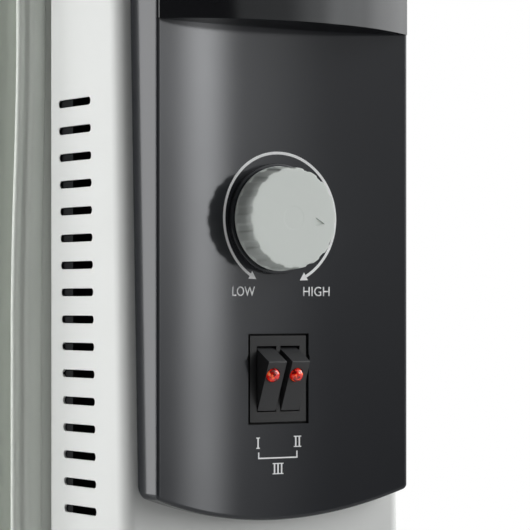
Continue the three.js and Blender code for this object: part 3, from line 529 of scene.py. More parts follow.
def vectors(parts: bpy.types.bpy_prop_collection, name: str) -> Array:
    """A vector property of a mesh's points or faces, of shape (n, 3).

    Args:
        parts: the mesh's vertices or polygons.
        name: the property's name.

    Returns:
        Its values.
    """
    flat = np.empty(3 * len(parts))
    parts.foreach_get(name, flat)
    return flat.reshape(-1, 3)


def places_of(item: Piece) -> Array:
    """A piece's points in millimetres from the switch, of shape (n, 3)."""
    return (vectors(item.data.vertices, "co") - ORIGIN) / MM


def move_points(mesh: bpy.types.Mesh, places: Array) -> None:
    """Gives a mesh new points of shape (n, 3), in millimetres from the switch."""
    mesh.vertices.foreach_set("co", (places * MM + ORIGIN).ravel())
    mesh.update()


# Finishes


class Nodes:
    """Adds and joins the nodes of one shader tree."""

    def __init__(self, tree: Tree) -> None:
        """Works on a tree."""
        self.tree = tree

    def join(self, source: Source, target: Socket) -> None:
        """Links a socket to an input, or sets the input to a plain value.

        Args:
            source: a socket or a plain value.
            target: the input.
        """
        if isinstance(source, Socket):
            self.tree.links.new(source, target)
        else:
            target.default_value = source

    def add(self, kind: str, *sources: Source, **settings: str) -> Node:
        """Adds a node, sets its options and feeds its inputs in their order.

        Args:
            kind: the node's type, without the words ShaderNode.
            sources: what feeds its first inputs.
            settings: the node's options by name.

        Returns:
            The node.
        """
        node = self.tree.nodes.new(f"ShaderNode{kind}")
        for option, value in settings.items():
            setattr(node, option, value)
        for source, target in zip(sources, node.inputs):
            self.join(source, target)
        return node

    def feed(self, node: Node, inputs: dict[str, Source]) -> Node:
        """Feeds a node's inputs by their names.

        Args:
            node: the node.
            inputs: what feeds each named input.

        Returns:
            The node.
        """
        for name, source in inputs.items():
            self.join(source, node.inputs[name])
        return node

    def group(self, tree: Tree, inputs: dict[str, Source]) -> bpy.types.bpy_prop_collection:
        """The outputs of a node that holds a group, fed by name.

        Args:
            tree: the group.
            inputs: what feeds each named input.

        Returns:
            The outputs of the node.
        """
        node = self.add("Group")
        node.node_tree = tree
        return self.feed(node, inputs).outputs

    def calc(self, operation: str, *sources: Source) -> Socket:
        """The result of a math node."""
        return self.add("Math", *sources, operation=operation).outputs["Value"]

    def ramp(self, value: Source, start: Source, end: Source, low: Source = 0.0, high: Source = 1.0,
             smooth: bool = True) -> Socket:
        """What goes from low to high, straight or smoothly, while a value goes from start to end."""
        kind = "SMOOTHSTEP" if smooth else "LINEAR"
        return self.add("MapRange", value, start, end, low, high, interpolation_type=kind).outputs["Result"]

    def blend(self, kind: Kind, share: Source, first: Source, second: Source) -> Socket:
        """What goes from the first value to the second while a share goes from 0 to 1.

        A Mix node's inputs are two for the share, and then a pair for each kind of value.

        Args:
            kind: what the values are.
            share: the share.
            first: the value at 0.
            second: the value at 1.

        Returns:
            The result.
        """
        _, name, rank = kind.value
        node = self.add("Mix", share, data_type=name)
        pair = 2 * (1 + rank)
        self.join(first, node.inputs[pair])
        self.join(second, node.inputs[pair + 1])
        return node.outputs[rank]

    def noise(self, scale: Source, detail: float) -> Socket:
        """Soft noise over the piece's own coordinates."""
        node = self.add("TexNoise", self.add("TexCoord").outputs["Object"])
        return self.feed(node, {"Scale": scale, "Detail": detail}).outputs["Fac"]


class Group(Nodes):
    """The nodes of a new shader node group."""

    def __init__(self, name: str, inputs: dict[str, float | None], outputs: dict[str, Kind]) -> None:
        """Makes the group and its sockets.

        Args:
            name: the group's name.
            inputs: the default of each input, which is None for a colour.
            outputs: what each output carries.
        """
        super().__init__(bpy.data.node_groups.new(name, "ShaderNodeTree"))
        start, end = self.tree.nodes.new("NodeGroupInput"), self.tree.nodes.new("NodeGroupOutput")
        for socket, value in inputs.items():
            kind = Kind.COLOUR if value is None else Kind.NUMBER
            made = self.tree.interface.new_socket(name=socket, in_out="INPUT", socket_type=kind.value[0])
            if value is not None:
                made.default_value = value
        for socket, kind in outputs.items():
            self.tree.interface.new_socket(name=socket, in_out="OUTPUT", socket_type=kind.value[0])
        self.given, self.result = start.outputs, end.inputs


class Effects:
    """The shader node groups that several finishes share, each made once."""

    DRIFT_LEVELS = (0.35, 0.65)
    DRIFT_DETAIL = 3.0
    BROAD_DETAIL, FINE_DETAIL = 1.0, 2.0
    PATCH_SCALE, PATCH_DETAIL = 30.0, 4.0
    PATCH_LEVELS = (0.3, 0.7)
    DUST_SCALE, DUST_DETAIL = 60.0, 6.0
    DUST_LEVELS = (0.55, 1.0)
    DUST_COLOUR = (0.42, 0.40, 0.37, 1)

    def __init__(self) -> None:
        """Makes the groups."""
        self.drift = self.make_drift()
        self.relief = self.make_relief()
        self.dust = self.make_dust()

    def make_drift(self) -> Tree:
        """A colour that wanders slightly: a base is mixed towards a second one by soft noise.

        Returns:
            The group.
        """
        group = Group("colour_drift", {"Base": None, "Other": None, "Scale": 8.0, "Amount": 0.5},
                      {"Colour": Kind.COLOUR})
        given = group.given
        level = group.ramp(group.noise(given["Scale"], self.DRIFT_DETAIL), *self.DRIFT_LEVELS)
        share = group.calc("MULTIPLY", level, given["Amount"])
        group.join(group.blend(Kind.COLOUR, share, given["Base"], given["Other"]), group.result["Colour"])
        return group.tree

    def make_relief(self) -> Tree:
        """A fine relief: a height of two noises, one broad and one small, and a roughness in patches.

        Returns:
            The group.
        """
        group = Group("surface_relief",
                      {"Broad": 400.0, "Fine": 2500.0, "Balance": 0.5, "Rough Low": 0.3, "Rough High": 0.4},
                      {"Height": Kind.NUMBER, "Roughness": Kind.NUMBER})
        given = group.given
        height = group.blend(Kind.NUMBER, given["Balance"], group.noise(given["Broad"], self.BROAD_DETAIL),
                             group.noise(given["Fine"], self.FINE_DETAIL))
        patches = group.noise(self.PATCH_SCALE, self.PATCH_DETAIL)
        rough = group.ramp(patches, *self.PATCH_LEVELS, given["Rough Low"], given["Rough High"],
                           smooth=False)
        group.join(height, group.result["Height"])
        group.join(rough, group.result["Roughness"])
        return group.tree

    def make_dust(self) -> Tree:
        """Settled dust: a mask that is full on faces that look up, broken by noise.

        Returns:
            The group.
        """
        group = Group("settled_dust", {"Amount": 0.2, "Colour In": None}, {"Colour": Kind.COLOUR})
        upward = group.add("SeparateXYZ", group.add("TexCoord").outputs["Normal"]).outputs["Z"]
        level = group.ramp(upward, *self.DUST_LEVELS, smooth=False)
        mask = group.calc("MULTIPLY", level, group.noise(self.DUST_SCALE, self.DUST_DETAIL))
        share = group.calc("MULTIPLY", mask, group.given["Amount"])
        colour = group.blend(Kind.COLOUR, share, group.given["Colour In"], self.DUST_COLOUR)
        group.join(colour, group.result["Colour"])
        return group.tree


def new_material(name: str) -> tuple[bpy.types.Material, Nodes, Node]:
    """A new material with the nodes of its tree and its Principled shader.

    Args:
        name: the material's name.

    Returns:
        All three.
    """
    made = bpy.data.materials.new(name)
    made.use_nodes = True
    return made, Nodes(made.node_tree), made.node_tree.nodes["Principled BSDF"]


@dataclass(frozen=True)
class Finish:
    """One painted, moulded or plated surface, its relief's depth in millimetres.

    Each material is a Principled shader fed by the shared groups: a colour that drifts towards a second one,
    a little dust on what looks up, and a relief that gives the bump and the roughness.
    """

    name: str
    base: Colour
    other: Colour
    rough: Pair = (0.3, 0.4)
    drift_scale: float = 9.0
    drift: float = 0.5
    dust: float = 0.0
    broad: float = 400.0
    fine: float = 2500.0
    balance: float = 0.5
    relief: float = 0.05
    depth: float = 0.1
    metallic: float = 0.0
    ior: float = 1.5
    tint: Colour = (1.0, 1.0, 1.0)

    def material(self, effects: Effects) -> bpy.types.Material:
        """Makes the material from the shared node groups.

        Args:
            effects: the shared node groups.

        Returns:
            The material.
        """
        made, nodes, shader = new_material(self.name)
        colour = nodes.group(effects.drift, {
            "Base": (*self.base, 1), "Other": (*self.other, 1), "Scale": self.drift_scale,
            "Amount": self.drift,
        })["Colour"]
        relief = nodes.group(effects.relief, {
            "Broad": self.broad, "Fine": self.fine, "Balance": self.balance, "Rough Low": self.rough[0],
            "Rough High": self.rough[1],
        })
        if self.dust > 0:
            colour = nodes.group(effects.dust, {"Amount": self.dust, "Colour In": colour})["Colour"]
        bump = nodes.feed(nodes.add("Bump"), {"Strength": self.relief, "Distance": self.depth * MM,
                                              "Height": relief["Height"]})
        nodes.feed(shader, {
            "Base Color": colour, "Roughness": relief["Roughness"], "Normal": bump.outputs["Normal"],
            "Metallic": self.metallic, "IOR": self.ior, "Specular Tint": (*self.tint, 1),
        })
        return made


FINISHES = [
    Finish("fin_paint", (0.755, 0.79, 0.735), (0.705, 0.74, 0.685), (0.42, 0.50), dust=0.25, broad=260.0,
           relief=0.10, depth=0.25),
    Finish("casing_paint", (0.765, 0.780, 0.765), (0.735, 0.750, 0.735), (0.46, 0.54), dust=0.15, broad=300.0,
           relief=0.08, depth=0.2),
    Finish("panel_gloss", (0.0240, 0.0255, 0.0290), (0.0275, 0.0290, 0.0325), (0.10, 0.13), broad=90.0,
           fine=900.0, balance=0.3, relief=0.02, depth=0.2, tint=(0.955, 0.975, 1.0)),
    Finish("cap_gloss", (0.0100, 0.0105, 0.0120), (0.0130, 0.0135, 0.0150), (0.10, 0.13), dust=0.02,
           broad=90.0, fine=900.0, balance=0.3, relief=0.02, depth=0.2, tint=(0.955, 0.985, 1.0)),
    Finish("castor_black", (0.014, 0.014, 0.015), (0.022, 0.022, 0.023), (0.42, 0.52), dust=0.10,
           broad=1500.0, fine=4200.0, relief=0.25, depth=0.12),
    Finish("wheel_black", (0.018, 0.018, 0.019), (0.030, 0.029, 0.028), (0.45, 0.60), dust=0.12, broad=700.0,
           relief=0.2, depth=0.12),
    # One black plastic in two copies: the bezel's darker as painted shade, the rockers' lighter as painted
    # light.
    Finish("bezel_black_painted_shade", (0.0066, 0.0072, 0.0080), (0.0090, 0.0096, 0.0104), (0.46, 0.54), broad=1800.0,
           fine=6000.0, relief=0.12),
    Finish("rocker_black_painted_light", (0.036, 0.037, 0.039), (0.042, 0.043, 0.045), (0.50, 0.58), broad=1800.0,
           fine=6000.0, relief=0.12),
    # Painted shade: near black for the ring in the gap about the switch.
    Finish("gap_painted_shade", (0.004, 0.004, 0.0045), (0.006, 0.006, 0.0065), (0.80, 0.90), broad=2400.0,
           fine=6000.0, relief=0.10),
    Finish("dark_plastic", (0.022, 0.023, 0.024), (0.028, 0.029, 0.030), (0.46, 0.56), broad=1800.0,
           fine=5200.0, relief=0.3, depth=0.06),
    Finish("knob_grey", (0.76, 0.806, 0.77), (0.735, 0.78, 0.745), (0.36, 0.44), broad=900.0, fine=3600.0,
           relief=0.12, depth=0.08),
    Finish("moulded_cream", (0.72, 0.66, 0.54), (0.68, 0.62, 0.50), (0.40, 0.50), relief=0.15),
    Finish("black_rubber", (0.014, 0.014, 0.014), (0.020, 0.020, 0.020), (0.60, 0.75), relief=0.25),
    Finish("plain_brass", (0.60, 0.44, 0.20), (0.52, 0.37, 0.16), (0.26, 0.40), metallic=1.0, relief=0.1),
    Finish("zinc_steel", (0.62, 0.63, 0.64), (0.50, 0.51, 0.53), (0.26, 0.42), metallic=1.0, drift_scale=60.0,
           relief=0.12),
    # Painted shade: a dark finish for the casing's inner faces and back plate, which show through the vents.
    Finish("inside_painted_shade", (0.020, 0.021, 0.022), (0.028, 0.029, 0.030), (0.80, 0.90), relief=0.1, ior=1.15),
    Finish("print_grey", (0.95, 0.955, 0.96), (0.91, 0.915, 0.92), (0.45, 0.55), relief=0.03),
]


@dataclass(frozen=True)
class LensFinish:
    """The red lens of the lit lamp: clear plastic moulded with small facets inside.

    Cells about the size of a facet each take a colour between deep red and pale orange, the pale orange cells
    being painted glints, and darker towards the lens's rim, which is painted shade, under a smooth coat.
    Every cell glows
    by a share of its own colour: the lit lamp's glow, which also brightens the painted glints.
    """

    name: str = "lens_red"
    stops: tuple[tuple[float, Colour], ...] = (
        (0.08, (0.13, 0.002, 0.001)), (0.40, (0.62, 0.010, 0.005)), (0.72, (0.62, 0.010, 0.005)),
        # The two palest stops are painted glints.
        (0.88, (1.0, 0.14, 0.03)), (0.99, (1.0, 0.50, 0.25)),
    )
    facets: float = 1250.0
    rim_shade_blend: float = 0.35
    rim_shade_share: float = 0.30
    relief: float = 0.25
    depth: float = 0.1
    glow: float = 0.45
    rough: float = 0.12
    coat: float = 1.0
    coat_rough: float = 0.02

    def material(self) -> bpy.types.Material:
        """Makes the material.

        Returns:
            The material.
        """
        made, nodes, shader = new_material(self.name)
        cells = nodes.add("TexVoronoi", nodes.add("TexCoord").outputs["Object"])
        nodes.feed(cells, {"Scale": self.facets})
        pick = nodes.add("SeparateColor", cells.outputs["Color"]).outputs["Red"]
        # Painted shade: the colour darkens towards the rim, where the lens turns away from the view.
        edge = nodes.feed(nodes.add("LayerWeight"), {"Blend": self.rim_shade_blend}).outputs["Facing"]
        level = nodes.calc("SUBTRACT", pick, nodes.calc("MULTIPLY", edge, self.rim_shade_share))
        colours = nodes.add("ValToRGB", level)
        colours.color_ramp.interpolation = "EASE"
        for share, _ in self.stops[1:-1]:
            colours.color_ramp.elements.new(share)
        for stop, (share, colour) in zip(colours.color_ramp.elements, self.stops):
            stop.position = share
            stop.color = (*colour, 1)
        bump = nodes.feed(nodes.add("Bump"), {"Strength": self.relief, "Distance": self.depth * MM,
                                              "Height": cells.outputs["Distance"]})
        nodes.feed(shader, {
            "Base Color": colours.outputs["Color"], "Emission Color": colours.outputs["Color"],
            "Emission Strength": self.glow, "Normal": bump.outputs["Normal"], "Roughness": self.rough,
            "Coat Weight": self.coat, "Coat Roughness": self.coat_rough,
        })
        return made


class Workshop:
    """Holds the finishes, gives each piece its finish and body, and hides the CAD nodes that it replaces."""

    def __init__(self) -> None:
        """Makes every finish once."""
        effects = Effects()
        self.finishes = {finish.name: finish.material(effects) for finish in FINISHES}
        self.finishes[LensFinish().name] = LensFinish().material()

    def paint(self, item: Piece, finish: str) -> None:
        """Gives a piece one finish all over."""
        item.data.materials.clear()
        item.data.materials.append(self.finishes[finish])

    def deliver(self, item: Piece, body: str, slot: str, *nodes: str, finish: str = "") -> None:
        """Finishes a piece: its paint and the body that it rides on, and hides the CAD nodes that it stands
        for.

        Args:
            item: the piece.
            body: the CAD body.
            slot: the record's material slot, whose name is the finish where none is given.
            nodes: the CAD nodes that it replaces.
            finish: the finish's name, where it isn't the slot's.
        """
        self.paint(item, finish or slot)
        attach(item, body)
        if nodes:
            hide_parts(*nodes)
        log.info("%s: %d faces on %s", item.name, len(item.data.polygons), body)

    def keep(self, node: str, finish: str) -> None:
        """Leaves a CAD node showing, with a better material."""
        self.paint(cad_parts[node], finish)
        log.info("%s: CAD node in %s", node, finish)


# Finned body


@dataclass
class FinnedBody:
    """The nine pressed fins and the two headers that join them.

    The profile gives half a fin's thickness by the distance from its rim, and the rings are the distances at
    which a fin's face has points.
    """

    shop: Workshop
    count: int = 9
    headers: tuple[str, str] = ("header_lower", "header_upper")
    half_width: float = 72.5
    corner: float = 60.0
    band: float = 40.0
    taper: float = 2.3
    taper_start: float = 177.0
    taper_run: float = 105.0
    profile: Outline = (
        (0.0, 0.0), (0.12, 0.62), (0.45, 1.08), (1.0, 1.3), (1.7, 1.22), (2.5, 0.8), (3.3, 0.85), (4.6, 2.1),
        (5.6, 2.7), (6.5, 2.85), (7.6, 2.75), (9.0, 2.5), (10.4, 2.45), (10.9, 2.3), (11.2, 2.05),
        (11.5, 2.3), (12.0, 2.75), (14.0, 4.0), (16.4, 4.9), (18.0, 5.0), (29.5, 5.0), (31.5, 4.7),
        (34.0, 3.4), (36.5, 1.9), (38.5, 1.3), (40.0, 1.2),
    )
    rings: tuple[float, ...] = (
        0, 0.12, 0.45, 1.0, 1.7, 2.5, 3.3, 4.0, 4.6, 5.6, 6.5, 7.6, 9.0, 10.4, 10.9, 11.2, 11.5, 12.0, 13.0,
        14.0, 15.2, 16.4, 18.0, 21.0, 25.0, 29.5, 31.5, 32.7, 34.0, 35.3, 36.5, 38.5, 40.0,
    )
    core_rings: int = 12
    corner_steps: int = 14
    end_steps: int = 5
    flank_ends: float = 0.22
    flank_end_steps: int = 25
    flank_middle_steps: int = 15
    least_radius: float = 0.02
    neck_reach: float = 42.0
    neck_slope: float = 12.5
    neck_foot: float = 1.2
    neck_rise: float = 3.9
    neck_inset: float = 20.0
    dents: tuple[int, ...] = (-2, -1, 0, 1, 2)
    dent_pitch: float = 65.0
    dent_half: Pair = (5.0, 11.0)
    dent_depth: float = 0.75
    dent_inset: float = 38.0
    fin_weld: float = 0.03
    fin_sharp: float = 50.0
    header_radius: float = 27.0
    header_steps: tuple[int, int] = (520, 72)
    header_sharp: float = 60.0
    flare: float = 4.2
    flare_run: float = 4.0
    bead: float = 0.7
    bead_half: float = 0.9
    end_face: float = 0.1
    plug_edge: float = 0.6

    def relief(self, inset: Array, x: Array, z: Array,
               levels: tuple[float, ...]) -> Array:
        """Half the thickness of a fin: the pressed profile, raised round each header and dented between them.

        Args:
            inset: distance inwards from the rim.
            x: distance from the fin's middle line.
            z: height.
            levels: heights of the two header axes.

        Returns:
            The half thickness at each point.
        """
        height = np.interp(inset, *np.array(self.profile).T)
        for level in levels:
            away = np.hypot(x, z - level)
            neck = self.neck_foot + self.neck_rise * ease((self.neck_reach - away) / self.neck_slope)
            raised = np.maximum(height, np.where(away < self.neck_reach, neck, 0))
            height = np.where(inset > self.neck_inset, raised, height)
        wide, tall = self.dent_half
        for number in self.dents:
            up = z - sum(levels) / 2 - number * self.dent_pitch
            dent = self.dent_depth * np.exp(-((x / wide) ** 2 + (up / tall) ** 2) ** 2)
            height = np.where(inset > self.dent_inset, height - dent, height)
        return height

    def outline(self, inset: Array, bottom: float, top: float) -> tuple[Array, Array]:
        """The fin's outline moved inwards: a rectangle with round corners, sampled alike at each inset.

        Towards both ends x is multiplied by 1 less the taper's share of the half width, along a smooth step.

        Args:
            inset: distances inwards, of shape (n,).
            bottom: the fin's lowest height.
            top: its highest.

        Returns:
            x and z, each of shape (n, samples).
        """
        radius = np.maximum(self.corner - inset, self.least_radius)[:, None]
        cx = (self.half_width - inset)[:, None] - radius
        cz = ((top - bottom) / 2 - inset)[:, None] - radius
        turn = np.radians(np.linspace(0, 90, self.corner_steps + 1))[None, :]
        near, far = self.flank_ends, 1 - self.flank_ends
        long = np.concatenate([np.linspace(0, near, self.flank_end_steps + 1)[1:-1],
                               np.linspace(near, far, self.flank_middle_steps + 1)[:-1],
                               np.linspace(far, 1, self.flank_end_steps + 1)[:-1]])[None, :]
        short = np.linspace(0, 1, self.end_steps + 1)[1:-1][None, :]
        parts_x, parts_z = [], []
        for sx, sz, start in ((1, 1, 0), (-1, 1, 90), (-1, -1, 180), (1, -1, 270)):
            angle = turn + math.radians(start)
            parts_x.append(sx * cx + radius * np.cos(angle))
            parts_z.append(sz * cz + radius * np.sin(angle))
            if sx * sz > 0:
                parts_x.append(sx * cx * (1 - 2 * short))
                parts_z.append(sz * (cz + radius) + 0 * short)
            else:
                parts_x.append(sx * (cx + radius) + 0 * long)
                parts_z.append(sz * cz * (1 - 2 * long))
        x, z = np.concatenate(parts_x, axis=1), np.concatenate(parts_z, axis=1)
        step = ease((self.taper_start - ((top - bottom) / 2 - np.abs(z))) / self.taper_run)
        return x * (1 - self.taper / self.half_width * step), z + (top + bottom) / 2

    def fin_side(self, low: Array, high: Array, way: int, levels: tuple[float, ...]) -> Array:
        """One face of a fin: rings from the rim to the edge of the pressed band, then straight to the middle.

        Args:
            low: the lowest corner of the fin's box.
            high: its highest corner.
            way: -1 for the face that looks forward, 1 for the other.
            levels: heights of the header axes.

        Returns:
            The grid of points.
        """
        inset = np.array(self.rings)
        x, z = self.outline(inset, low[2], high[2])
        core = np.clip(z[-1], low[2] + self.half_width, high[2] - self.half_width)
        share = np.linspace(0, 1, self.core_rings + 1)[1:, None]
        deep = np.concatenate([inset, self.band + share[:, 0] * (self.half_width - self.band)])
        x = np.concatenate([x, x[-1] + share * (0 - x[-1])])
        z = np.concatenate([z, z[-1] + share * (core - z[-1])])
        thick = self.relief(deep[:, None] + 0 * x, x, z, levels)
        return np.stack([x, (low[1] + high[1]) / 2 + way * thick, z], axis=-1)

    def fin(self, number: int, levels: tuple[float, ...]) -> Piece:
        """Builds one fin, both faces joined along the rim.

        Args:
            number: its number from the front.
            levels: heights of the header axes.

        Returns:
            The fin.
        """
        low, high = node_box(f"fin_{number}")
        skin = Skin()
        for way in (-1, 1):
            skin.sheet(self.fin_side(low, high, way, levels), wrap=True)
        return smooth(skin.build(f"fin_sheet_{number}", self.fin_weld), self.fin_sharp)

    def header(self, name: str) -> Piece:
        """A header tube: wider where each fin's neck meets it, with a weld bead half way between two fins.

        Args:
            name: the CAD node.

        Returns:
            The tube.
        """
        low, high = node_box(name)
        planes = np.array([node_middle(f"fin_{number + 1}")[1] for number in range(self.count)])
        joints = (planes[1:] + planes[:-1]) / 2
        y = np.linspace(low[1], high[1], self.header_steps[0])
        to_plane, to_joint = (np.min(np.abs(y[:, None] - marks), axis=1) for marks in (planes, joints))
        flare = np.exp(-to_plane / self.flare_run) * self.flare
        bead = np.exp(-(to_joint / self.bead_half) ** 2) * self.bead
        tube = (y > low[1] + self.end_face) & (y < high[1] - self.end_face)
        radius = self.header_radius + flare * tube + bead
        profile = np.stack([np.pad(radius, 1), np.pad(y, 1, mode="edge")], axis=1)
        item = turned(f"{name}_tube", profile, (0, 0, (low[2] + high[2]) / 2), "y", self.header_steps[1])
        return smooth(item, self.header_sharp)

    def build(self) -> None:
        """Builds and delivers the fins and headers."""
        levels = tuple(float(node_middle(name)[2]) for name in self.headers)
        for number in range(1, self.count + 1):
            self.shop.deliver(self.fin(number, levels), BODY, "fin_paint", f"fin_{number}")
        for name in self.headers:
            self.shop.deliver(self.header(name), BODY, "fin_paint", name)
        plug = soften(copied("oil_filler_plug", "filler_plug"), self.plug_edge)
        self.shop.deliver(plug, BODY, "plain_brass", "oil_filler_plug")


# Casing


@dataclass
class ControlCasing:
    """The folded white sheet round the controls, with its vent slots, back plate, floor and screws.

    An inner face of the sheet is told by how far inside the outer one it lies, which is inner_depths for the
    sides, the front and the flange at the back. Profiles are of (radius, height), those of the bush from its
    foot and from its top.
    """

    shop: Workshop
    half: float = 59.0
    sheet: float = 1.0
    corner: float = 5.0
    corner_steps: int = 10
    back: float = 61.6
    fold: float = 38.0
    front: float = 14.0
    lean: float = 0.031
    edge: float = 0.3
    sharp: float = 50.0
    window_margin: float = 13.0
    window_levels: Pair = (-34.0, 112.0)
    overrun: float = 5.0
    slots: int = 22
    pitch: float = 9.73
    first_slot: float = 99.0
    slot_margin: float = 19.8
    slot_length: float = 24.0
    slot_height: float = 2.75
    slot_reach: Pair = (-4.0, 3.0)
    slot_steps: int = 8
    inner_depths: Triple = (0.8, 0.7, 0.5)
    back_margin: float = 1.0
    flange: float = 9.0
    facing: float = 0.5
    screws: int = 4
    screw_seat: float = 0.3
    screw_edge: float = 0.12
    screw_profile: Outline = ((0, -6.5), (1.5, -6.5), (1.7, -6.0), (1.7, 0), (3.35, 0), (3.4, 0.35),
                              (3.25, 0.9), (2.7, 1.4), (1.6, 1.72), (0, 1.8))
    screw_steps: int = 40
    cross: Pair = (3.4, 0.75)
    cross_round: float = 0.2
    cross_reach: Pair = (0.7, 3.0)
    cover_edge: float = 0.5
    bush_foot: Outline = ((3.6, 0.6), (4.2, 0), (6.2, 0), (7.0, 0.7), (6.7, 2.5), (7.0, 5.6))
    bush_head: Outline = ((7.0, -3.1), (9.4, -3.1), (10.0, -2.5), (10.0, -0.7), (9.3, 0), (4.2, 0),
                          (3.6, -0.6))
    bush_steps: int = 48

    def face(self, z: float | Array) -> float | Array:
        """Where the casing's front lies on y at height z: it leans forward going down."""
        return self.front - self.lean * (self.top - z)

    @property
    def top(self) -> float:
        """Height of the casing's top edge."""
        return float(node_box("control_casing")[1][2])

    @property
    def bottom(self) -> float:
        """Height of its bottom edge."""
        return float(node_box("control_casing")[0][2])

    def path(self, inset: float) -> Array:
        """One face of the sheet in plan, from the back right round the front to the back left.

        Args:
            inset: how far inside the outer face.

        Returns:
            Points (x, y) of shape (n, 2).
        """
        half, reach, radius = self.half - inset, self.half - self.corner, self.corner - inset
        return np.concatenate([
            [[half, self.back], [half, self.fold]],
            arc(reach, self.corner, radius, 0, -90, self.corner_steps),
            arc(-reach, self.corner, radius, -90, -180, self.corner_steps),
            [[-half, self.fold], [-half, self.back]],
        ])

    def shell(self) -> Piece:
        """The folded sheet: its plan at the bottom and the top, whose front part moves with the lean.

        Returns:
            The sheet with its slots and its window.
        """
        plan = np.concatenate([self.path(0.0), self.path(self.sheet)[::-1]])
        rings = carried(plan, "z", self.bottom, self.top)
        rings[..., 1] += np.where(rings[..., 1] < self.fold, self.face(rings[..., 2]), 0)
        low, high = self.window_levels
        reach = self.half - self.window_margin
        window = prism("window", np.array([[-reach, low], [reach, low], [reach, high], [-reach, high]]), "y",
                       self.face(self.bottom) - self.overrun, self.front + self.overrun)
        slots = [self.slot_cutters(side) for side in Side]
        item = carve(Skin().tube(rings).build("casing_shell"), *slots, window)
        return soften(item, self.edge, segments=2, angle=self.sharp)

    def slot_cutters(self, side: Side) -> Piece:
        """One mesh of level slots with round ends, carried through a side wall.

        Args:
            side: the wall.

        Returns:
            The cutters.
        """
        outline = stadium(self.slot_length, self.slot_height, self.slot_steps)
        skin = Skin()
        near, far = sorted(side.value * (self.half + reach) for reach in self.slot_reach)
        for row in range(self.slots):
            z = self.first_slot - row * self.pitch
            y = self.face(z) + self.slot_margin + self.slot_length / 2
            skin.tube(carried(outline + np.array([y, z]), "x", near, far))
        return skin.build(f"slot_cutters_{side.index}")

    def screw(self, number: int) -> Piece:
        """A pan head screw with a cross recess, its head on the casing's side.

        Args:
            number: its number.

        Returns:
            The screw.
        """
        middle = node_middle(f"casing_screw_{number}")
        side = 1 if middle[0] > 0 else -1
        seat = side * (self.half + self.screw_seat)
        profile = np.array(self.screw_profile) * np.array([1, side])
        head = turned(f"side_screw_{number}", profile, (seat, middle[1], middle[2]), "x", self.screw_steps)
        near, far = sorted(seat + side * reach for reach in self.cross_reach)
        cutters = [prism("recess", rounded(*size, self.cross_round, steps=3) + middle[1:], "x", near, far)
                   for size in (self.cross, self.cross[::-1])]
        return soften(carve(head, *cutters), self.screw_edge, segments=2, angle=self.sharp)

    def paint_inside_shade(self, shell: Piece) -> None:
        """Gives the sheet's inner faces a dark finish that is painted shade, so that the vents look dark
        inside.

        Args:
            shell: the sheet.
        """
        shell.data.materials.append(self.shop.finishes["inside_painted_shade"])
        faces = shell.data.polygons
        x, y, z = ((vectors(faces, "center") - ORIGIN) / MM).T
        out_x, out_y, _ = vectors(faces, "normal").T
        in_side, in_front, in_flange = self.inner_depths
        side = (np.abs(x) < self.half - in_side) & (np.sign(x) * out_x < -self.facing)
        front = (y > self.face(z) + in_front) & (out_y > self.facing) & (y < self.back - self.back_margin)
        flange = (np.abs(x) < self.half - in_flange) & (y > self.back - self.flange)
        flange &= out_y < -self.facing
        faces.foreach_set("material_index", (side | front | flange).astype(np.int32))

    def bush(self) -> Piece:
        """The lead inlet's bush: a soft ring with a waist, open through its middle.

        Returns:
            The bush.
        """
        low, high = node_box("lead_inlet_bush")
        head = np.array(self.bush_head) + np.array([0, high[2] - low[2]])
        profile = np.concatenate([self.bush_foot, head, self.bush_foot[:1]])
        foot = (0, (low[1] + high[1]) / 2, low[2])
        return smooth(turned("inlet_bush", profile, foot, "z", self.bush_steps), SOFTENED_SHARP)

    def build(self) -> None:
        """Builds and delivers the casing's pieces."""
        shell = self.shell()
        self.shop.deliver(shell, BODY, "casing_paint", "control_casing")
        # The inner faces take painted shade, seen through the vents.
        self.paint_inside_shade(shell)
        for number in range(1, self.screws + 1):
            self.shop.deliver(self.screw(number), BODY, "zinc_steel", f"casing_screw_{number}")
        cover = soften(copied("casing_bottom_cover", "bottom_cover"), self.cover_edge, segments=2)
        self.shop.deliver(cover, BODY, "dark_plastic", "casing_bottom_cover")
        self.shop.deliver(self.bush(), BODY, "black_rubber", "lead_inlet_bush")
        # The back plate takes the same painted shade.
        self.shop.keep("casing_back_plate", "inside_painted_shade")


# Panel


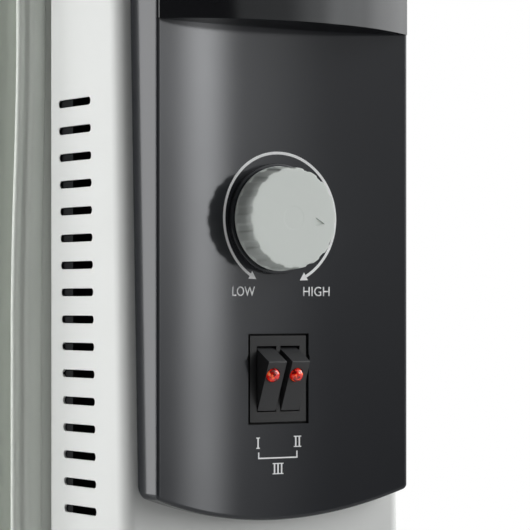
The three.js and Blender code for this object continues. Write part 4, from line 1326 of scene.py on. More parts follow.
@dataclass
class ControlPanel:
    """The glossy black tray, its printing and the pocket of the switch.

    The numerals are given by their middle, their foot and their number of strokes, the words by their ends,
    and the printed arc and its arrows by angles in degrees about the dial's centre. The notch is a level,
    half a height and a depth.
    """

    shop: Workshop
    casing: ControlCasing
    half: float = 53.0
    hollow: float = 5.4
    bottom: float = -50.4
    rise: float = 9.8
    top_gap: float = 1.5
    rear_gap: float = 0.3
    pocket: Pair = (25.6, 32.3)
    notch: Triple = (7.3, 1.5, 0.55)
    pocket_reach: Pair = (-4.0, 40.0)
    hole_reach: Pair = (-8.0, 40.0)
    gap_shade_grow: Pair = (1.01, 1.006)
    gap_shade_depths: Pair = (1.0, 2.6)
    gap_shade_cutter: Pair = (-1.0, 4.0)
    gap_shade_width: float = 1.5
    gap_shade_round: float = 0.4
    shaft_hole: float = 6.0
    seat_radius: float = 19.7
    seat_rise: float = 2.9
    seat_back: float = 1.5
    seat_steps: int = 120
    seat_rim: Outline = ((0, 0.5), (-0.06, 0.28), (-0.2, 0.1), (-0.45, 0))
    edge: float = 1.4
    corner: float = 1.5
    draft: float = 0.015
    back_round: float = 2.6
    back_share: float = 0.45
    edge_steps: int = 8
    columns: tuple[int, int] = (9, 27)
    rows: int = 18
    low_rows: tuple[float, ...] = (1.6, 2.2, 2.9, 3.6, 4.6)
    tray_weld: float = 0.01
    ink_depths: Pair = (-0.06, 0.10)
    ink_weld: float = 0.001
    dial_centre: Pair = (0.2, 57.1)
    dial_radius: float = 23.45
    dial_width: float = 1.0
    dial_span: Pair = (-61.0, 240.0)
    dial_steps: int = 150
    arrow_tips: tuple[tuple[float, int], ...] = ((-68.0, -1), (246.0, 1))
    arrow_turn: float = 7.2
    arrow_half: float = 1.6
    arrow_shift: float = 0.2
    numeral_height: float = 4.0
    stroke_gap: float = 1.5
    stroke_half: float = 0.3
    serif: float = 0.36
    serif_reach: float = 0.8
    numerals: tuple[tuple[float, float, int], ...] = ((-8.6, -24.7, 1), (8.1, -24.5, 2), (-0.1, -34.0, 3))
    bracket_line: float = 0.5
    bracket_left: Pair = (-28.4, -26.0)
    bracket_right: Pair = (-28.2, -25.8)
    bracket_columns: int = 24
    words: tuple[tuple[str, float, float], ...] = (("LOW", -19.8, -10.0), ("HIGH", 10.4, 21.4))
    word_foot: float = 29.5
    word_height: float = 3.4
    word_bold: float = 0.004
    word_spacing: float = 1.02
    word_thickness: float = 0.1
    word_weld: float = 0.0001

    def face(self, x: float | Array) -> float | Array:
        """Where the hollow face lies on y at x: an arc that is deepest in the middle."""
        return -self.hollow + bow_rise(np.asarray(x, float), self.half, self.hollow)

    def lower_edge(self, x: Array) -> Array:
        """Height of the bowed lower edge at x."""
        return self.bottom + self.rise - bow_rise(x, self.half, self.rise)

    def shell(self) -> Piece:
        """The tray: a grid between its bowed lower edge and its top, on the hollow face and at its back.

        The rounded edge is part of the grid: at a distance d from the outline the face falls back by r less
        the root of r squared less the square of r less d. Each lower corner is a quarter of a circle, and the
        columns start that much higher there. The back comes forward towards the lower edge along a circle
        too. The walls spread a little towards the back, as the draft of a moulding does.

        Returns:
            The tray.
        """
        r, bend, top = self.edge, self.corner, self.casing.top - self.top_gap
        steps = r * (1 - np.cos(np.radians(np.linspace(0, 90, self.edge_steps))))
        side = self.pocket[0] / 2
        right = np.concatenate([
            np.linspace(0, side, self.columns[0])[1:],
            np.linspace(side, self.half - bend, self.columns[1])[1:],
            self.half - np.concatenate([[(bend + r) / 2], steps[::-1]]),
        ])
        x = np.concatenate([-right[::-1], [0.0], right])
        slope = 2 * self.rise / self.half * x / self.half
        tilt = 1 / np.sqrt(1 + slope * slope)
        inset = self.half - np.abs(x)
        lift = bend - np.sqrt(bend * bend - np.clip(bend - inset, 0, None) ** 2)
        near = np.concatenate([steps, self.low_rows])[:, None]
        low = self.lower_edge(x) + lift / tilt
        share = np.linspace(0, 1, self.rows)[1:, None]
        z = np.concatenate([low + near, low + near[-1] + share * (top - low - near[-1])])
        above = (z - self.lower_edge(x)) * tilt
        corner = bend - np.hypot(np.clip(bend - inset, 0, None), np.clip(bend - above, 0, None))
        deep = np.where((inset < bend) & (above < bend), corner, np.minimum(inset, above))
        fall = r - np.sqrt(r * r - (r - np.clip(deep, 0, r)) ** 2)
        wide = np.broadcast_to(x, z.shape)
        face, rear = self.face(wide), self.casing.face(z) - self.rear_gap
        bow = np.minimum(self.back_round, self.back_share * (rear - face - r))
        short = np.clip(1 - (z - low) / bow, 0, 1)
        spread = 1 + self.draft * (rear - face) / self.half
        front = np.stack([wide, face + fall, z], axis=-1)
        back = np.stack([wide * spread, rear - bow * (1 - np.sqrt(1 - short * short)), z], axis=-1)
        item = Skin().slab(front, back).build("panel_tray", self.tray_weld)
        hole = arc(*knob_axis(), self.shaft_hole, 0, 360, steps=40)[:-1]
        carve(item, prism("pocket", self.pocket_outline(), "y", *self.pocket_reach),
              prism("hole", hole, "y", *self.hole_reach))
        return smooth(item, SOFTENED_SHARP)

    def pocket_outline(self) -> Array:
        """The switch's pocket: a rectangle with a small notch for a finger nail at each side.

        Returns:
            Points (x, z) of shape (n, 2).
        """
        half, tall = self.pocket[0] / 2, self.pocket[1] / 2
        level, reach, out = self.notch
        return mirrored(np.array([[half, -tall], [half, level - reach], [half + out, level],
                                  [half, level + reach], [half, tall]]))

    def gap_ring(self) -> Piece:
        """A black ring in the gap about the switch, a little below the face; its black is painted shade in
        the gap.

        Returns:
            The seal.
        """
        outline = self.pocket_outline() * np.array(self.gap_shade_grow)
        ring = prism("switch_gap_shade", outline, "y", *self.gap_shade_depths)
        inside = rounded(*(size - 2 * self.gap_shade_width for size in self.pocket), self.gap_shade_round, steps=3)
        return carve(ring, prism("window", inside, "y", *self.gap_shade_cutter))

    def seat(self) -> Piece:
        """The low round seat behind the knob, turned about the knob's axis, its rim rounded.

        Returns:
            The seat.
        """
        hole, top, foot = self.shaft_hole, -self.seat_rise, self.seat_back
        rim = np.array(self.seat_rim) + np.array([self.seat_radius, top])
        profile = np.concatenate([
            [[hole, foot], [self.seat_radius, foot]], rim, [[hole, top], [hole, foot]],
        ])
        x, z = knob_axis()
        return smooth(turned("knob_seat", profile, (x, 0, z), "y", self.seat_steps))

    def printed(self, name: str, patches: list[Array]) -> Piece:
        """Thin printing on the face: flat patches whose points take the hollow face's depth.

        Args:
            name: the piece's name.
            patches: grids of (x, z) points, each of shape (rows, columns, 2).

        Returns:
            The piece, a hair in front of the face.
        """
        skin = Skin()
        for patch in patches:
            x, z = np.moveaxis(patch, -1, 0)
            skin.slab(*(np.stack([x, self.face(x) + depth, z], axis=-1) for depth in self.ink_depths))
        return skin.build(name, self.ink_weld)

    @staticmethod
    def bar(x0: float, z0: float, x1: float, z1: float, columns: int = 2) -> Array:
        """A flat rectangle as a grid of (x, z) points."""
        x, z = np.meshgrid(np.linspace(x0, x1, columns), np.array([z0, z1]))
        return np.stack([x, z], axis=-1)

    def dial_marks(self) -> Piece:
        """The arc round the knob, a ring of constant width, with an arrowhead at each end.

        Returns:
            The marks.
        """
        centre, radius, half = np.array(self.dial_centre), self.dial_radius, self.dial_width / 2
        start, end = self.dial_span
        patches = [np.stack([centre + arc(0, 0, r, start, end, self.dial_steps - 1)
                             for r in (radius - half, radius + half)])]
        for tip, way in self.arrow_tips:
            point = centre + (radius + self.arrow_shift) * direction(tip)
            root = direction(tip - way * self.arrow_turn)
            wide = [centre + (radius + aside) * root for aside in (-self.arrow_half, self.arrow_half)]
            patches.append(np.array([[point, point], wide]))
        return self.printed("dial_marks", patches)

    def numeral(self, x: float, base: float, strokes: int) -> list[Array]:
        """A serif numeral of one to three strokes between two serifs.

        Args:
            x: its middle.
            base: its foot.
            strokes: how many.

        Returns:
            Its patches.
        """
        top = base + self.numeral_height
        start = x - self.stroke_gap * (strokes - 1) / 2
        half = self.stroke_gap * (strokes - 1) / 2 + self.serif_reach
        middles = [start + rank * self.stroke_gap for rank in range(strokes)]
        stems = [self.bar(middle - self.stroke_half, base, middle + self.stroke_half, top)
                 for middle in middles]
        return stems + [self.bar(x - half, base, x + half, base + self.serif),
                        self.bar(x - half, top - self.serif, x + half, top)]

    def switch_marks(self) -> Piece:
        """The numerals under the two rockers and the bracket that joins them.

        Returns:
            The marks.
        """
        line, (left, right) = self.bracket_line, (self.numerals[rank][0] for rank in (0, 1))
        foot = self.bracket_left[0]
        patches = [patch for numeral in self.numerals for patch in self.numeral(*numeral)]
        patches += [self.bar(left, foot, left + line, self.bracket_left[1]),
                    self.bar(right - line, self.bracket_right[0], right, self.bracket_right[1]),
                    self.bar(left, foot, right, foot + line, self.bracket_columns)]
        return self.printed("switch_marks", patches)

    def word(self, text: str, left: float, right: float) -> Piece:
        """A word in thin capitals, made a mesh and laid on the hollow face between its two ends.

        Args:
            text: the word.
            left: its left end.
            right: its right end.

        Returns:
            The piece.
        """
        curve = bpy.data.curves.new(text, "FONT")
        curve.body = text
        curve.offset = self.word_bold
        curve.space_character = self.word_spacing
        source = place(text, curve)
        mesh = settled_mesh(source)
        bpy.data.objects.remove(source)
        flat = vectors(mesh.vertices, "co")[:, :2]
        across, up = ((flat - flat.min(axis=0)) / np.ptp(flat, axis=0)).T
        x = left + across * (right - left)
        z = self.word_foot + up * self.word_height
        move_points(mesh, np.stack([x, self.face(x) + self.ink_depths[0], z], axis=1))
        item = object_of(mesh, f"word_{text.lower()}", self.word_weld * MM)
        wall = item.modifiers.new("thick", "SOLIDIFY")
        wall.thickness = self.word_thickness * MM
        wall.offset = 0.0
        return settle(item)

    def build(self) -> None:
        """Builds and delivers the panel and its printing."""
        self.shop.deliver(self.shell(), BODY, "panel_gloss", "control_panel")
        self.shop.deliver(self.seat(), BODY, "panel_gloss")
        # The gap ring's black is painted shade.
        self.shop.deliver(self.gap_ring(), BODY, "black_rubber", finish="gap_painted_shade")
        for marks in (self.dial_marks(), self.switch_marks(), *(self.word(*word) for word in self.words)):
            self.shop.deliver(marks, BODY, "panel_gloss", finish="print_grey")
        self.shop.keep("mounting_plate", "zinc_steel")


# Switch


@dataclass
class DoubleSwitch:
    """The switch's housing, its two rockers and their red lenses.

    The ridge's shifts are how far forward and up its points move from the ridge's own place.
    """

    shop: Workshop
    bezel_inset: Triple = (0.75, 0.0, 0.6)
    bezel_rim: float = 0.05
    bezel_near: float = 0.4
    bezel_edge: float = 0.2
    lens_radius: float = 2.5
    lens_rise: float = 2.05
    lens_root: float = 0.7
    lens_aside: float = 0.8
    lens_below: float = 4.4
    lens_steps: tuple[int, int] = (15, 48)
    lens_sharp: float = 60.0
    ridge_proud: float = 7.3
    ridge_level: float = 5.5
    ridge_depth: float = 0.6
    ridge_upper: float = 0.7
    ridge_shifts: Outline = ((-0.22, 0.52), (-0.12, 0.92))
    rocker_edge: float = 0.18
    key_end: float = 11.3

    def lens(self, number: int) -> Piece:
        """A domed lens on a rocker's long facet: its rings follow a quarter of an ellipse.

        Args:
            number: the rocker's number.

        Returns:
            The lens.
        """
        lean = math.atan2(self.ridge_proud, self.key_end + self.ridge_level)
        axis = np.array([0.0, -math.cos(lean), -math.sin(lean)])
        base = np.array([node_middle(f"rocker_{number}")[0] - self.lens_aside,
                         -self.ridge_proud + self.lens_below * math.sin(lean),
                         self.ridge_level - self.lens_below * math.cos(lean)])
        side = np.array([1.0, 0.0, 0.0])
        angle = turns(self.lens_steps[1])[None, :, None]
        climb = np.radians(np.linspace(0, 90, self.lens_steps[0] + 1))
        radius = self.lens_radius * np.concatenate([[0, 1.0], np.cos(climb)])
        rise = np.concatenate([[-self.lens_root, -self.lens_root], self.lens_rise * np.sin(climb)])
        ring = np.cos(angle) * side + np.sin(angle) * np.cross(side, axis)
        grid = base + radius[:, None, None] * ring + rise[:, None, None] * axis
        return smooth(Skin().sheet(grid, wrap=True).build(f"lamp_lens_{number}"), self.lens_sharp)

    def housing(self) -> Piece:
        """The housing, its bezel's outer edge drawn in so that a dark gap is left around it.

        Returns:
            The housing.
        """
        item = copied("switch_housing", "switch_frame")
        places = places_of(item)
        away = node_box("switch_housing")[1] - np.abs(places)
        edge = (away[:, 0] < self.bezel_rim) | (away[:, 2] < self.bezel_rim)
        inward = np.sign(places) * np.array(self.bezel_inset)
        move_points(item.data, places - np.where(edge[:, None] & (away < self.bezel_near), inward, 0.0))
        return soften(item, self.bezel_edge, segments=2)

    def rocker(self, number: int) -> Piece:
        """A rocker, the flat along its ridge drawn in to a narrow edge.

        Args:
            number: its number.

        Returns:
            The rocker.
        """
        item = copied(f"rocker_{number}", f"rocker_key_{number}")
        places = places_of(item)
        ridge = places[:, 1] < -self.ridge_proud + self.ridge_depth
        upper = ridge & (places[:, 2] > self.ridge_level + self.ridge_upper)
        for points, shift in zip((ridge, upper), self.ridge_shifts):
            places[points, 1:] = np.array([-self.ridge_proud, self.ridge_level]) + shift
        move_points(item.data, places)
        return soften(item, self.rocker_edge)

    def build(self) -> None:
        """Builds and delivers the switch."""
        # The bezel's black is darker than the plastic's own: painted shade.
        self.shop.deliver(self.housing(), BODY, "dark_plastic", "switch_housing", finish="bezel_black_painted_shade")
        for number in (1, 2):
            body = f"rocker_{number}"
            # The rockers' black is lighter than the plastic's own: painted light.
            self.shop.deliver(self.rocker(number), body, "dark_plastic", body, finish="rocker_black_painted_light")
            self.shop.deliver(self.lens(number), body, "lens_red", f"rocker_lens_{number}")


# Thermostat


@dataclass
class Thermostat:
    """The fluted knob on its spindle, and the works behind the panel.

    The rings are the knob's side from its back to its face. Each holds its height above the back or, in
    face_rings, above the face, how far it is drawn in, and the share of the flutes' depth that it takes. The
    face's profile is of radii and heights above the face, the bore's of radii and heights above the back.
    """

    shop: Workshop
    flutes: int = 18
    flute_steps: int = 20
    flute_depth: float = 0.43
    flute_wave: Pair = (0.15, 0.75)
    back_radius: float = 18.6
    face_radius: float = 17.85
    rest_turn: float = -8.0
    rings: tuple[Triple, ...] = (
        (0.0, 0.4, 0), (0.12, 0.12, 0), (0.3, 0, 0), (0.9, 0, 0), (1.0, 0.02, 0.1), (1.12, 0.1, 0.6),
        (1.3, 0.14, 0.9), (3.5, 0.06, 1), (6.0, 0, 1), (8.2, 0, 1),
    )
    face_rings: tuple[Triple, ...] = (
        (-0.45, 0, 1), (-0.25, 0.03, 1), (-0.1, 0.12, 0.95), (-0.02, 0.26, 0.85), (0.0, 0.42, 0.7),
    )
    face_profile: Outline = ((16.4, 0.0), (15.5, 0.0), (4.5, 0.0), (4.2, 0.0), (4.08, -0.015), (3.9, -0.02),
                             (3.6, -0.02), (0.0, -0.02))
    bore_profile: Outline = ((0.0, 8.0), (3.4, 8.0), (3.4, 0.0), (5.5, 0.0))
    hollow_profile: Outline = ((5.5, -2.2), (15.6, -2.2))
    hollow_foot: Pair = (15.8, 0.0)
    sharp: float = 30.0
    pointer_corners: Outline = ((13.1, 0.0), (9.2, 1.6), (9.2, -1.6))
    pointer_depth: float = 0.5
    pointer_overrun: float = 3.0
    works: tuple[tuple[str, str], ...] = (
        ("thermostat_shaft", "zinc_steel"), ("thermostat_body", "moulded_cream"),
        ("thermostat_nut", "plain_brass"),
    )

    def cap(self) -> Piece:
        """The knob: rings about its axis, tapered from back to face.

        At each flute the radius dips to a flat recess with short slopes, a smooth step of a cosine about the
        axis. A plain rim is left at the back, and the face's edge is only just broken.

        Returns:
            The knob.
        """
        low, high = node_box("thermostat_knob")
        depth = high[1] - low[1]
        lift = np.array([0, depth])
        turn = turns(self.flutes * self.flute_steps)
        angle = turn + math.radians(self.rest_turn)
        start, run = self.flute_wave
        wave = ease((np.cos(self.flutes * turn) + start) / run)
        height, drawn, fade = np.array([*self.rings, *self.face_rings]).T
        height[-len(self.face_rings):] += depth
        taper = self.back_radius + (self.face_radius - self.back_radius) * height / depth - drawn
        ring = taper[:, None] - self.flute_depth * fade[:, None] * wave
        hollow = np.concatenate([self.bore_profile, self.hollow_profile + lift, [self.hollow_foot]])
        face = self.face_profile + lift
        flat = 0 * angle
        wide = np.concatenate([hollow[:, 0:1] + flat, ring, face[:, 0:1] + flat])
        up = np.concatenate([hollow[:, 1:2] + flat, height[:, None] + flat, face[:, 1:2] + flat])
        x, z = knob_axis()
        grid = np.stack([x + wide * np.cos(angle), high[1] - up, z + wide * np.sin(angle)], axis=-1)
        item = Skin().sheet(grid, wrap=True).build("knob_cap")
        return smooth(carve(item, self.pointer(low[1])), self.sharp)

    def pointer(self, face: float) -> Piece:
        """The cutter of the small sunk triangle that points along the knob's rest direction.

        Args:
            face: where the knob's face lies on y.

        Returns:
            The cutter.
        """
        turn = math.radians(self.rest_turn)
        spin = np.array([[math.cos(turn), math.sin(turn)], [-math.sin(turn), math.cos(turn)]])
        outline = np.array(self.pointer_corners) @ spin + np.array(knob_axis())
        return prism("pointer", outline, "y", face - self.pointer_overrun, face + self.pointer_depth)

    def build(self) -> None:
        """Builds and delivers the knob and dresses the works."""
        self.shop.deliver(self.cap(), "knob", "knob_grey", "thermostat_knob")
        for node, finish in self.works:
            self.shop.keep(node, finish)


# Handle


@dataclass
class TopHandle:
    """The black cap: a bowed visor over the panel, and a grip bar over an opening for the fingers.

    The bend is the stretch of each flank over which the nose meets the straight side, and the chamfer is the
    break of each rear corner.
    """

    shop: Workshop
    casing: ControlCasing
    panel: ControlPanel
    half: float = 59.0
    nose_half: float = 52.3
    nose_side: float = 5.8
    nose: float = 20.0
    nose_steps: int = 40
    least_nose: float = 1.0
    visor: float = 125.5
    under_drop: float = 0.55
    skirt: float = 2.0
    nose_rise: float = 52.0
    nose_lean: float = 0.05
    bend: float = 3.0
    chamfer: float = 0.9
    flank_inset: float = 0.15
    flank_back: float = 8.0
    shoulder: float = 24.0
    bar_front: float = 9.0
    bar_back: float = 21.0
    flank_steps: int = 5
    shoulder_steps: int = 14
    round_top: float = 7.0
    flat_top: float = 6.0
    deck_rise: float = 6.0
    deck_half: float = 1.0
    levels: Pair = (140.0, 155.0)
    opening: Triple = (84.0, 32.0, 12.0)
    opening_reach: Pair = (-40.0, 90.0)
    weld: float = 0.02
    edge: float = 1.1
    sharp: float = 48.0
    gap: float = 0.3
    cutter_low: float = 6.0
    cutter_wide: float = 4.0
    cutter_back: float = 70.0
    cutter_steps: int = 60
    soffit: Triple = (0.1, -1.0, 8.0)

    def section(self, z: float, nose: float, back: float, half: float) -> Array:
        """The plan at one height: a bowed nose, two short flanks, straight sides and a straight back.

        Args:
            z: the height.
            nose: how far the nose stands forward of the switch's face.
            back: where the back lies on y.
            half: half the width.

        Returns:
            Points of shape (n, 3), always as many.
        """
        wide = self.nose_half * (half / self.half)
        side = min(self.nose_side, nose - self.least_nose)
        x = np.linspace(-wide, wide, self.nose_steps + 1)
        front = np.stack([x, -(side + bow_rise(x, wide, nose - side))], axis=1)
        flank = min(self.casing.front, back - self.flank_back)
        right = np.array([
            [half - self.chamfer, flank - self.bend], [half - self.flank_inset, flank],
            [half, flank + self.bend], [half, back - self.bend], [half - self.chamfer, back - self.chamfer],
            [half - self.bend, back], [half / 2, back], [0, back],
        ])
        outline = np.concatenate([front, np.delete(mirrored(right), len(right), axis=0)])
        return np.insert(outline, 2, z, axis=1)

    def shell(self) -> Piece:
        """The cap's outside: sections from the visor to the top, where width and depth round over.

        Returns:
            The cap.
        """
        top = float(node_box("top_handle")[1][2])
        deck = self.casing.top + self.deck_rise
        nose_top, shoulder = self.visor + self.nose_rise, top - self.shoulder
        above_deck, flat = deck + self.deck_half, top - self.flat_top
        lift = np.sin(np.radians(np.linspace(0, 90, self.shoulder_steps + 1)))
        levels = np.concatenate([
            [self.visor - self.under_drop - self.skirt, self.visor, *self.levels, deck - self.deck_half,
             above_deck, nose_top],
            np.linspace(nose_top, shoulder, self.flank_steps + 1)[1:],
            (shoulder + self.shoulder * lift)[1:],
        ])
        rings = []
        for z in levels:
            up, rear, over, arch = np.clip([
                (z - nose_top) / (flat - nose_top), (z - above_deck) / (flat - above_deck),
                (z - top + self.round_top) / self.round_top, (z - shoulder) / self.shoulder,
            ], 0, 1)
            nose = self.nose + up * (self.bar_front - self.nose) - self.nose_lean * max(0.0, z - self.visor)
            back = self.casing.back + rear * (self.bar_back - self.casing.back)
            draw = self.round_top * (1 - math.sqrt(1 - over * over))
            half = self.half - self.shoulder * (1 - math.sqrt(1 - arch * arch))
            rings.append(self.section(z, nose - draw, back - draw, half))
        item = Skin().tube(np.stack(rings)).build("handle_cap", self.weld)
        carve(item, self.underside(), self.finger_way(deck))
        return soften(item, self.edge, segments=4, angle=self.sharp)

    def underside(self) -> Piece:
        """What is taken away: all behind the panel's face and under the deck, and the visor's soffit.

        Returns:
            The cutter.
        """
        rear, wide, half = self.visor - self.under_drop, self.half + self.cutter_wide, self.panel.half
        low = rear - self.cutter_low
        x = np.linspace(-wide, wide, self.cutter_steps + 1)
        face = np.where(np.abs(x) < half, self.panel.face(np.clip(x, -half, half)), -self.panel.hollow)
        outline = np.concatenate([
            np.stack([x, face - self.gap], axis=1), [[wide, self.cutter_back], [-wide, self.cutter_back]],
        ])
        body = prism("housing", outline, "z", low, self.casing.top + self.gap)
        rise, start, end = self.soffit
        front = -self.nose - self.cutter_wide
        soffit = np.array([[front, low], [front, self.visor + rise], [start, rear], [end, rear], [end, low]])
        return carve(body, prism("soffit", soffit, "x", -wide - 1, wide + 1), how=Boolean.JOIN)

    def finger_way(self, deck: float) -> Piece:
        """The opening for the fingers, a rounded rectangle carried through from front to back.

        Args:
            deck: height of the opening's lower edge.

        Returns:
            The cutter.
        """
        width, height, radius = self.opening
        outline = rounded(width, height, radius, steps=10) + np.array([0, deck + height / 2])
        return prism("finger_way", outline, "y", *self.opening_reach)

    def build(self) -> None:
        """Builds and delivers the cap."""
        self.shop.deliver(self.shell(), BODY, "panel_gloss", "top_handle", finish="cap_gloss")


# Heating parts


@dataclass
class HeatingParts:
    """What lies inside the casing round the element."""

    shop: Workshop
    finishes: dict[str, str] = field(default_factory=lambda: {
        "heating_element": "zinc_steel", "element_gasket": "black_rubber", "thermal_cut_out": "dark_plastic",
        "tip_over_switch": "dark_plastic", "terminal_block": "moulded_cream"})

    def build(self) -> None:
        """Dresses the CAD nodes."""
        for node, finish in self.finishes.items():
            self.shop.keep(node, finish)


# Feet


@dataclass
class Foot:
    """One foot bracket with its U-bolt, wing nuts and two castors.

    Profiles are of radii and of heights below the wheel's side or the axle's end. The tread's radii are
    measured inwards from the wheel's own.
    """

    shop: Workshop
    end: End
    edge: float = 0.6
    small_edge: float = 0.7
    bolt_radius: float = 3.0
    bolt_steps: tuple[int, int] = (60, 48)
    bolt_sharp: float = 50.0
    wheel_half: float = 8.5
    hub: Outline = ((2.8, 0), (7.4, 0), (8.0, 0.5), (8.4, 3.2), (9.2, 3.6))
    tread: Outline = ((6.4, 3.6), (5.4, 3.0), (5.0, 1.2), (4.4, 0.6), (2.6, 1.0), (0.9, 2.3), (0.15, 3.9),
                      (0, 5.5))
    wheel_sharp: float = 32.0
    wheel_steps: int = 72
    axle_steps: int = 40
    rivet: Outline = ((0, 0), (1.6, 0.15), (3.2, 0.7), (4.0, 1.5), (2.5, 1.5))

    def u_bolt(self) -> Piece:
        """The U-bolt: two legs and half a circle over the header.

        Returns:
            The bolt.
        """
        low, high = node_box(f"u_bolt_{self.end.value}")
        y = (low[1] + high[1]) / 2
        leg = high[0] - self.bolt_radius
        crest = high[2] - self.bolt_radius - leg
        steps, round_steps = self.bolt_steps
        down = np.stack([np.full(steps, -leg), np.full(steps, y), np.linspace(low[2], crest, steps)], axis=1)
        over = np.insert(arc(0, crest, leg, 180, 0, round_steps), 1, y, axis=1)
        path = np.concatenate([down[:-1], over, down[::-1][1:] * np.array([-1, 1, 1])])
        return smooth(pipe(f"u_bolt_bar_{self.end.value}", path, self.bolt_radius), self.bolt_sharp)

    def wheel(self, name: str) -> Piece:
        """A wheel: a crowned tread, a rounded shoulder, a dished web and a raised hub with a bore.

        Args:
            name: the end and number of its castor.

        Returns:
            The wheel.
        """
        low, high = node_box(f"castor_wheel_{name}")
        radius = (high[2] - low[2]) / 2
        half = np.concatenate([self.hub, np.array([radius, 0]) + np.array(self.tread) * np.array([-1, 1])])
        half[:, 1] = self.wheel_half - half[:, 1]
        profile = np.concatenate([half, half[::-1] * np.array([1, -1]), half[:1]])
        item = turned(f"wheel_{name}", profile, tuple((low + high) / 2), "x", self.wheel_steps)
        return smooth(item, self.wheel_sharp)

    def axle(self, name: str) -> Piece:
        """An axle with a domed rivet head at each end.

        Args:
            name: the end and number of its castor.

        Returns:
            The axle.
        """
        low, high = node_box(f"castor_axle_{name}")
        head = np.array(self.rivet) - np.array([0, (high[0] - low[0]) / 2])
        profile = np.concatenate([head, head[::-1] * np.array([1, -1])])
        item = turned(f"axle_{name}", profile, tuple((low + high) / 2), "x", self.axle_steps)
        return smooth(item, SOFTENED_SHARP)

    def build(self) -> None:
        """Builds and delivers the foot."""
        end = self.end.value
        bracket = soften(copied(f"foot_bracket_{end}", f"foot_{end}"), self.edge)
        self.shop.deliver(bracket, BODY, "casing_paint", f"foot_bracket_{end}")
        self.shop.deliver(self.u_bolt(), BODY, "zinc_steel", f"u_bolt_{end}")
        for side in Side:
            name = f"{end}_{side.index}"
            nut, fork = (soften(copied(f"{node}_{name}", f"{piece}_{name}"), self.small_edge)
                         for node, piece in (("wing_nut", "nut"), ("castor_fork", "fork")))
            self.shop.deliver(nut, BODY, "zinc_steel", f"wing_nut_{name}")
            self.shop.deliver(fork, f"swivel_{name}", "castor_black", f"castor_fork_{name}")
            self.shop.deliver(self.axle(name), f"swivel_{name}", "zinc_steel", f"castor_axle_{name}")
            self.shop.deliver(self.wheel(name), f"wheel_{name}", "wheel_black", f"castor_wheel_{name}")


# Studio


@dataclass(frozen=True)
class SoftBox:
    """One soft light of the studio, so far away that only its direction counts.

    Its light is its level, times a window over the turn round the heater, times a ramp up from its lower
    edge, times a ramp down at its upper edge. Turns are in degrees from straight in front of the panel,
    positive towards +X, and climbs in degrees above the horizon.
    """

    turn: float
    half: float
    level: float
    low: float = -8.0
    low_edge: float = 14.0
    high: float = 45.0
    high_edge: float = 12.0
    side_edge: float = 5.0

    def settings(self) -> dict[str, float]:
        """What the soft box's node group takes.

        Returns:
            Each input and its value.
        """
        return {
            "Turn": self.turn, "Inner": self.half - self.side_edge, "Outer": self.half + self.side_edge,
            "Low": self.low, "Low Full": self.low + self.low_edge, "High Full": self.high - self.high_edge,
            "High": self.high + self.high_edge, "Level": self.level,
        }


SOFT_BOXES = {
    "left_window": SoftBox(-106.0, 9.0, 7.4, low=-22.0, low_edge=12.0, high=50.0, side_edge=3.0),
    "back_left_strip": SoftBox(-148.0, 13.0, 2.8, low=-14.0, low_edge=6.0, high=16.0, high_edge=6.0),
    "front_fill": SoftBox(32.0, 30.0, 0.55, low=-7.0, low_edge=13.0, high=50.0, side_edge=2.5),
    "front_high": SoftBox(54.0, 42.0, 0.62, low=16.0, low_edge=8.0, high=60.0, side_edge=10.0),
    "right_fill": SoftBox(62.0, 32.0, 0.85, low=-12.0, low_edge=18.0, side_edge=7.0),
    "right_strip": SoftBox(45.0, 3.0, 6.6, low=-16.0, low_edge=24.0, high=8.5, high_edge=1.5, side_edge=3.0),
    "right_screen": SoftBox(77.0, 33.0, 1.3, low=-2.0, low_edge=16.0, side_edge=6.0),
    "right_back": SoftBox(90.0, 24.0, 1.45, low=-4.0, low_edge=16.0, side_edge=8.0),
    "overhead": SoftBox(0.0, 200.0, 0.5, low=50.0, low_edge=10.0, high=200.0),
}
NO_LIGHT = SoftBox(0.0, 0.0, 0.0)


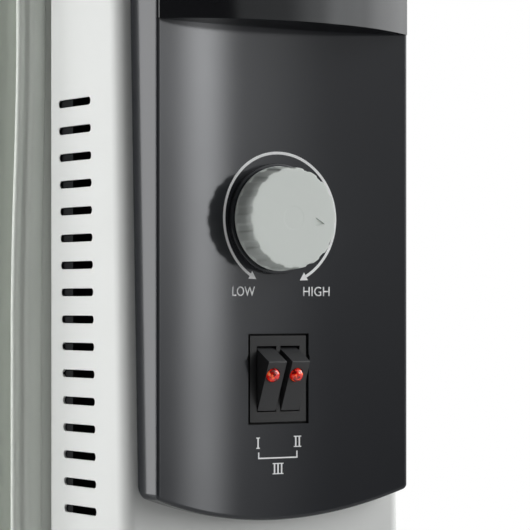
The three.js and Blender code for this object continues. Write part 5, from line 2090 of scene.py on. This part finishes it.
@dataclass
class Studio:
    """The pale floor, the soft lights, the white surround and the camera of the photograph.

    The floor's sizes and how far the camera sees are in metres.
    """

    focal_pixels: float = 2545.0
    frame_pixels: float = 530.0
    horizon_row: float = 304.0
    sensor: float = 36.0
    far: float = 50.0
    turn: float = 32.37
    distance: float = 908.0
    aside: float = 4.72
    above: float = 26.7
    floor_radii: tuple[float, ...] = (0.0, 0.5, 1.2, 2.4)
    floor_steps: int = 96
    floor_rough: float = 0.6
    floor_fade: Pair = (0.55, 1.92)
    floor_white: float = 0.90
    floor_own: float = 0.45
    floor_grey: float = 0.58
    ambient: float = 0.02
    backdrop: Pair = (0.1, 0.3)

    def camera(self) -> None:
        """A level camera whose view goes right and back, and whose shift puts the horizon on its row."""
        turn = math.radians(self.turn)
        ahead = np.array([math.sin(turn), math.cos(turn), 0])
        right = np.array([math.cos(turn), -math.sin(turn), 0])
        data = bpy.data.cameras.new("photograph")
        data.sensor_width = self.sensor
        data.sensor_fit = "HORIZONTAL"
        data.lens = self.focal_pixels / self.frame_pixels * self.sensor
        data.shift_y = (self.horizon_row - self.frame_pixels / 2) / self.frame_pixels
        data.clip_end = self.far
        item = place("photograph", data)
        spot = -self.distance * ahead - self.aside * right + np.array([0, 0, self.above])
        item.location = spot * MM + ORIGIN
        item.rotation_euler = (math.pi / 2, 0, -turn)
        bpy.context.scene.camera = item

    def floor(self) -> None:
        """A pale disc that takes the shadow.

        Seen by the camera, part of its white is its own, and towards the rim all of it.
        """
        angle = turns(self.floor_steps)
        radius = np.array(self.floor_radii)[:, None]
        grid = np.stack([radius * np.cos(angle), radius * np.sin(angle), 0 * radius * angle], axis=-1)
        item = Skin().sheet((grid - ORIGIN) / MM, wrap=True).build("floor")
        made, nodes, shader = new_material("pale_floor")
        away = nodes.add("VectorMath", nodes.add("TexCoord").outputs["Object"], operation="LENGTH")
        rays = nodes.add("LightPath").outputs
        seen = nodes.calc("MAXIMUM", rays["Is Camera Ray"], rays["Is Transmission Ray"])
        fade = nodes.ramp(away.outputs["Value"], *self.floor_fade)
        own = nodes.ramp(fade, 0.0, 1.0, self.floor_own, smooth=False)
        nodes.feed(shader, {
            "Base Color": nodes.ramp(seen, 0.0, 1.0, self.floor_grey, self.floor_white, smooth=False),
            "Roughness": self.floor_rough,
        })
        white = nodes.feed(nodes.add("Emission"), {"Color": (1, 1, 1, 1)})
        mix = nodes.add("MixShader", nodes.calc("MULTIPLY", own, seen), shader.outputs["BSDF"],
                        white.outputs["Emission"])
        nodes.join(mix.outputs["Shader"], made.node_tree.nodes["Material Output"].inputs["Surface"])
        item.data.materials.append(made)

    @staticmethod
    def soft_box_group() -> Tree:
        """The node group that gives one soft box's light for a ray's turn and climb, as SoftBox says.

        Returns:
            The group.
        """
        group = Group("soft_box", {"Ray Turn": 0.0, "Ray Climb": 0.0, **NO_LIGHT.settings()},
                      {"Light": Kind.NUMBER})
        given, climb = group.given, group.given["Ray Climb"]
        away = group.calc("SUBTRACT", given["Ray Turn"], given["Turn"])
        away = group.calc("ABSOLUTE", group.calc("WRAP", away, 180.0, -180.0))
        window = group.ramp(away, given["Outer"], given["Inner"])
        lower = group.ramp(climb, given["Low"], given["Low Full"], smooth=False)
        upper = group.ramp(climb, given["High"], given["High Full"])
        light = group.calc("MULTIPLY", group.calc("MULTIPLY", window, lower), upper)
        group.join(group.calc("MULTIPLY", light, given["Level"]), group.result["Light"])
        return group.tree

    def surround(self) -> None:
        """The world: white to the camera, the soft boxes to all else, and a white backdrop behind for gloss.

        The strength for other rays is the sum of the boxes, but at least 1 in the half behind the heater for
        glossy and transmitted rays.
        """
        world = bpy.data.worlds.new("studio")
        bpy.context.scene.world = world
        world.use_nodes = True
        nodes = Nodes(world.node_tree)
        ray = nodes.add("SeparateXYZ", nodes.add("TexCoord").outputs["Generated"]).outputs
        turn = nodes.calc("ARCTAN2", ray["X"], nodes.calc("MULTIPLY", ray["Y"], -1.0))
        angles = {"Ray Turn": nodes.calc("MULTIPLY", turn, math.degrees(1.0)),
                  "Ray Climb": nodes.calc("MULTIPLY", nodes.calc("ARCSINE", ray["Z"]), math.degrees(1.0))}
        group = self.soft_box_group()
        total = self.ambient
        for box in SOFT_BOXES.values():
            total = nodes.calc("ADD", nodes.group(group, {**angles, **box.settings()})["Light"], total)
        rays = nodes.add("LightPath").outputs
        mirror = nodes.calc("MAXIMUM", rays["Is Glossy Ray"], rays["Is Transmission Ray"])
        behind = nodes.ramp(ray["Y"], *self.backdrop)
        total = nodes.calc("MAXIMUM", total, nodes.calc("MULTIPLY", mirror, behind))
        unseen = nodes.calc("SUBTRACT", 1.0, rays["Is Camera Ray"])
        total = nodes.calc("ADD", nodes.calc("MULTIPLY", total, unseen), rays["Is Camera Ray"])
        nodes.feed(world.node_tree.nodes["Background"], {"Color": (1, 1, 1, 1), "Strength": total})

    def build(self) -> None:
        """Sets up the whole studio."""
        bpy.context.scene.view_settings.view_transform = "Standard"
        self.camera()
        self.floor()
        self.surround()
        log.info("studio: camera, floor and %d soft boxes", len(SOFT_BOXES))


def main() -> None:
    """Builds the studio and every sub-assembly in order."""
    logging.basicConfig(level=logging.INFO, format="%(name)s %(message)s")
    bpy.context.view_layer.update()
    Studio().build()
    shop = Workshop()
    casing = ControlCasing(shop)
    panel = ControlPanel(shop, casing)
    assemblies = [FinnedBody(shop), casing, panel, DoubleSwitch(shop), Thermostat(shop),
                  TopHandle(shop, casing, panel), HeatingParts(shop), *(Foot(shop, end) for end in End)]
    for assembly in assemblies:
        assembly.build()
        log.info("%s built", type(assembly).__name__)


if __name__ == "__main__":
    main()
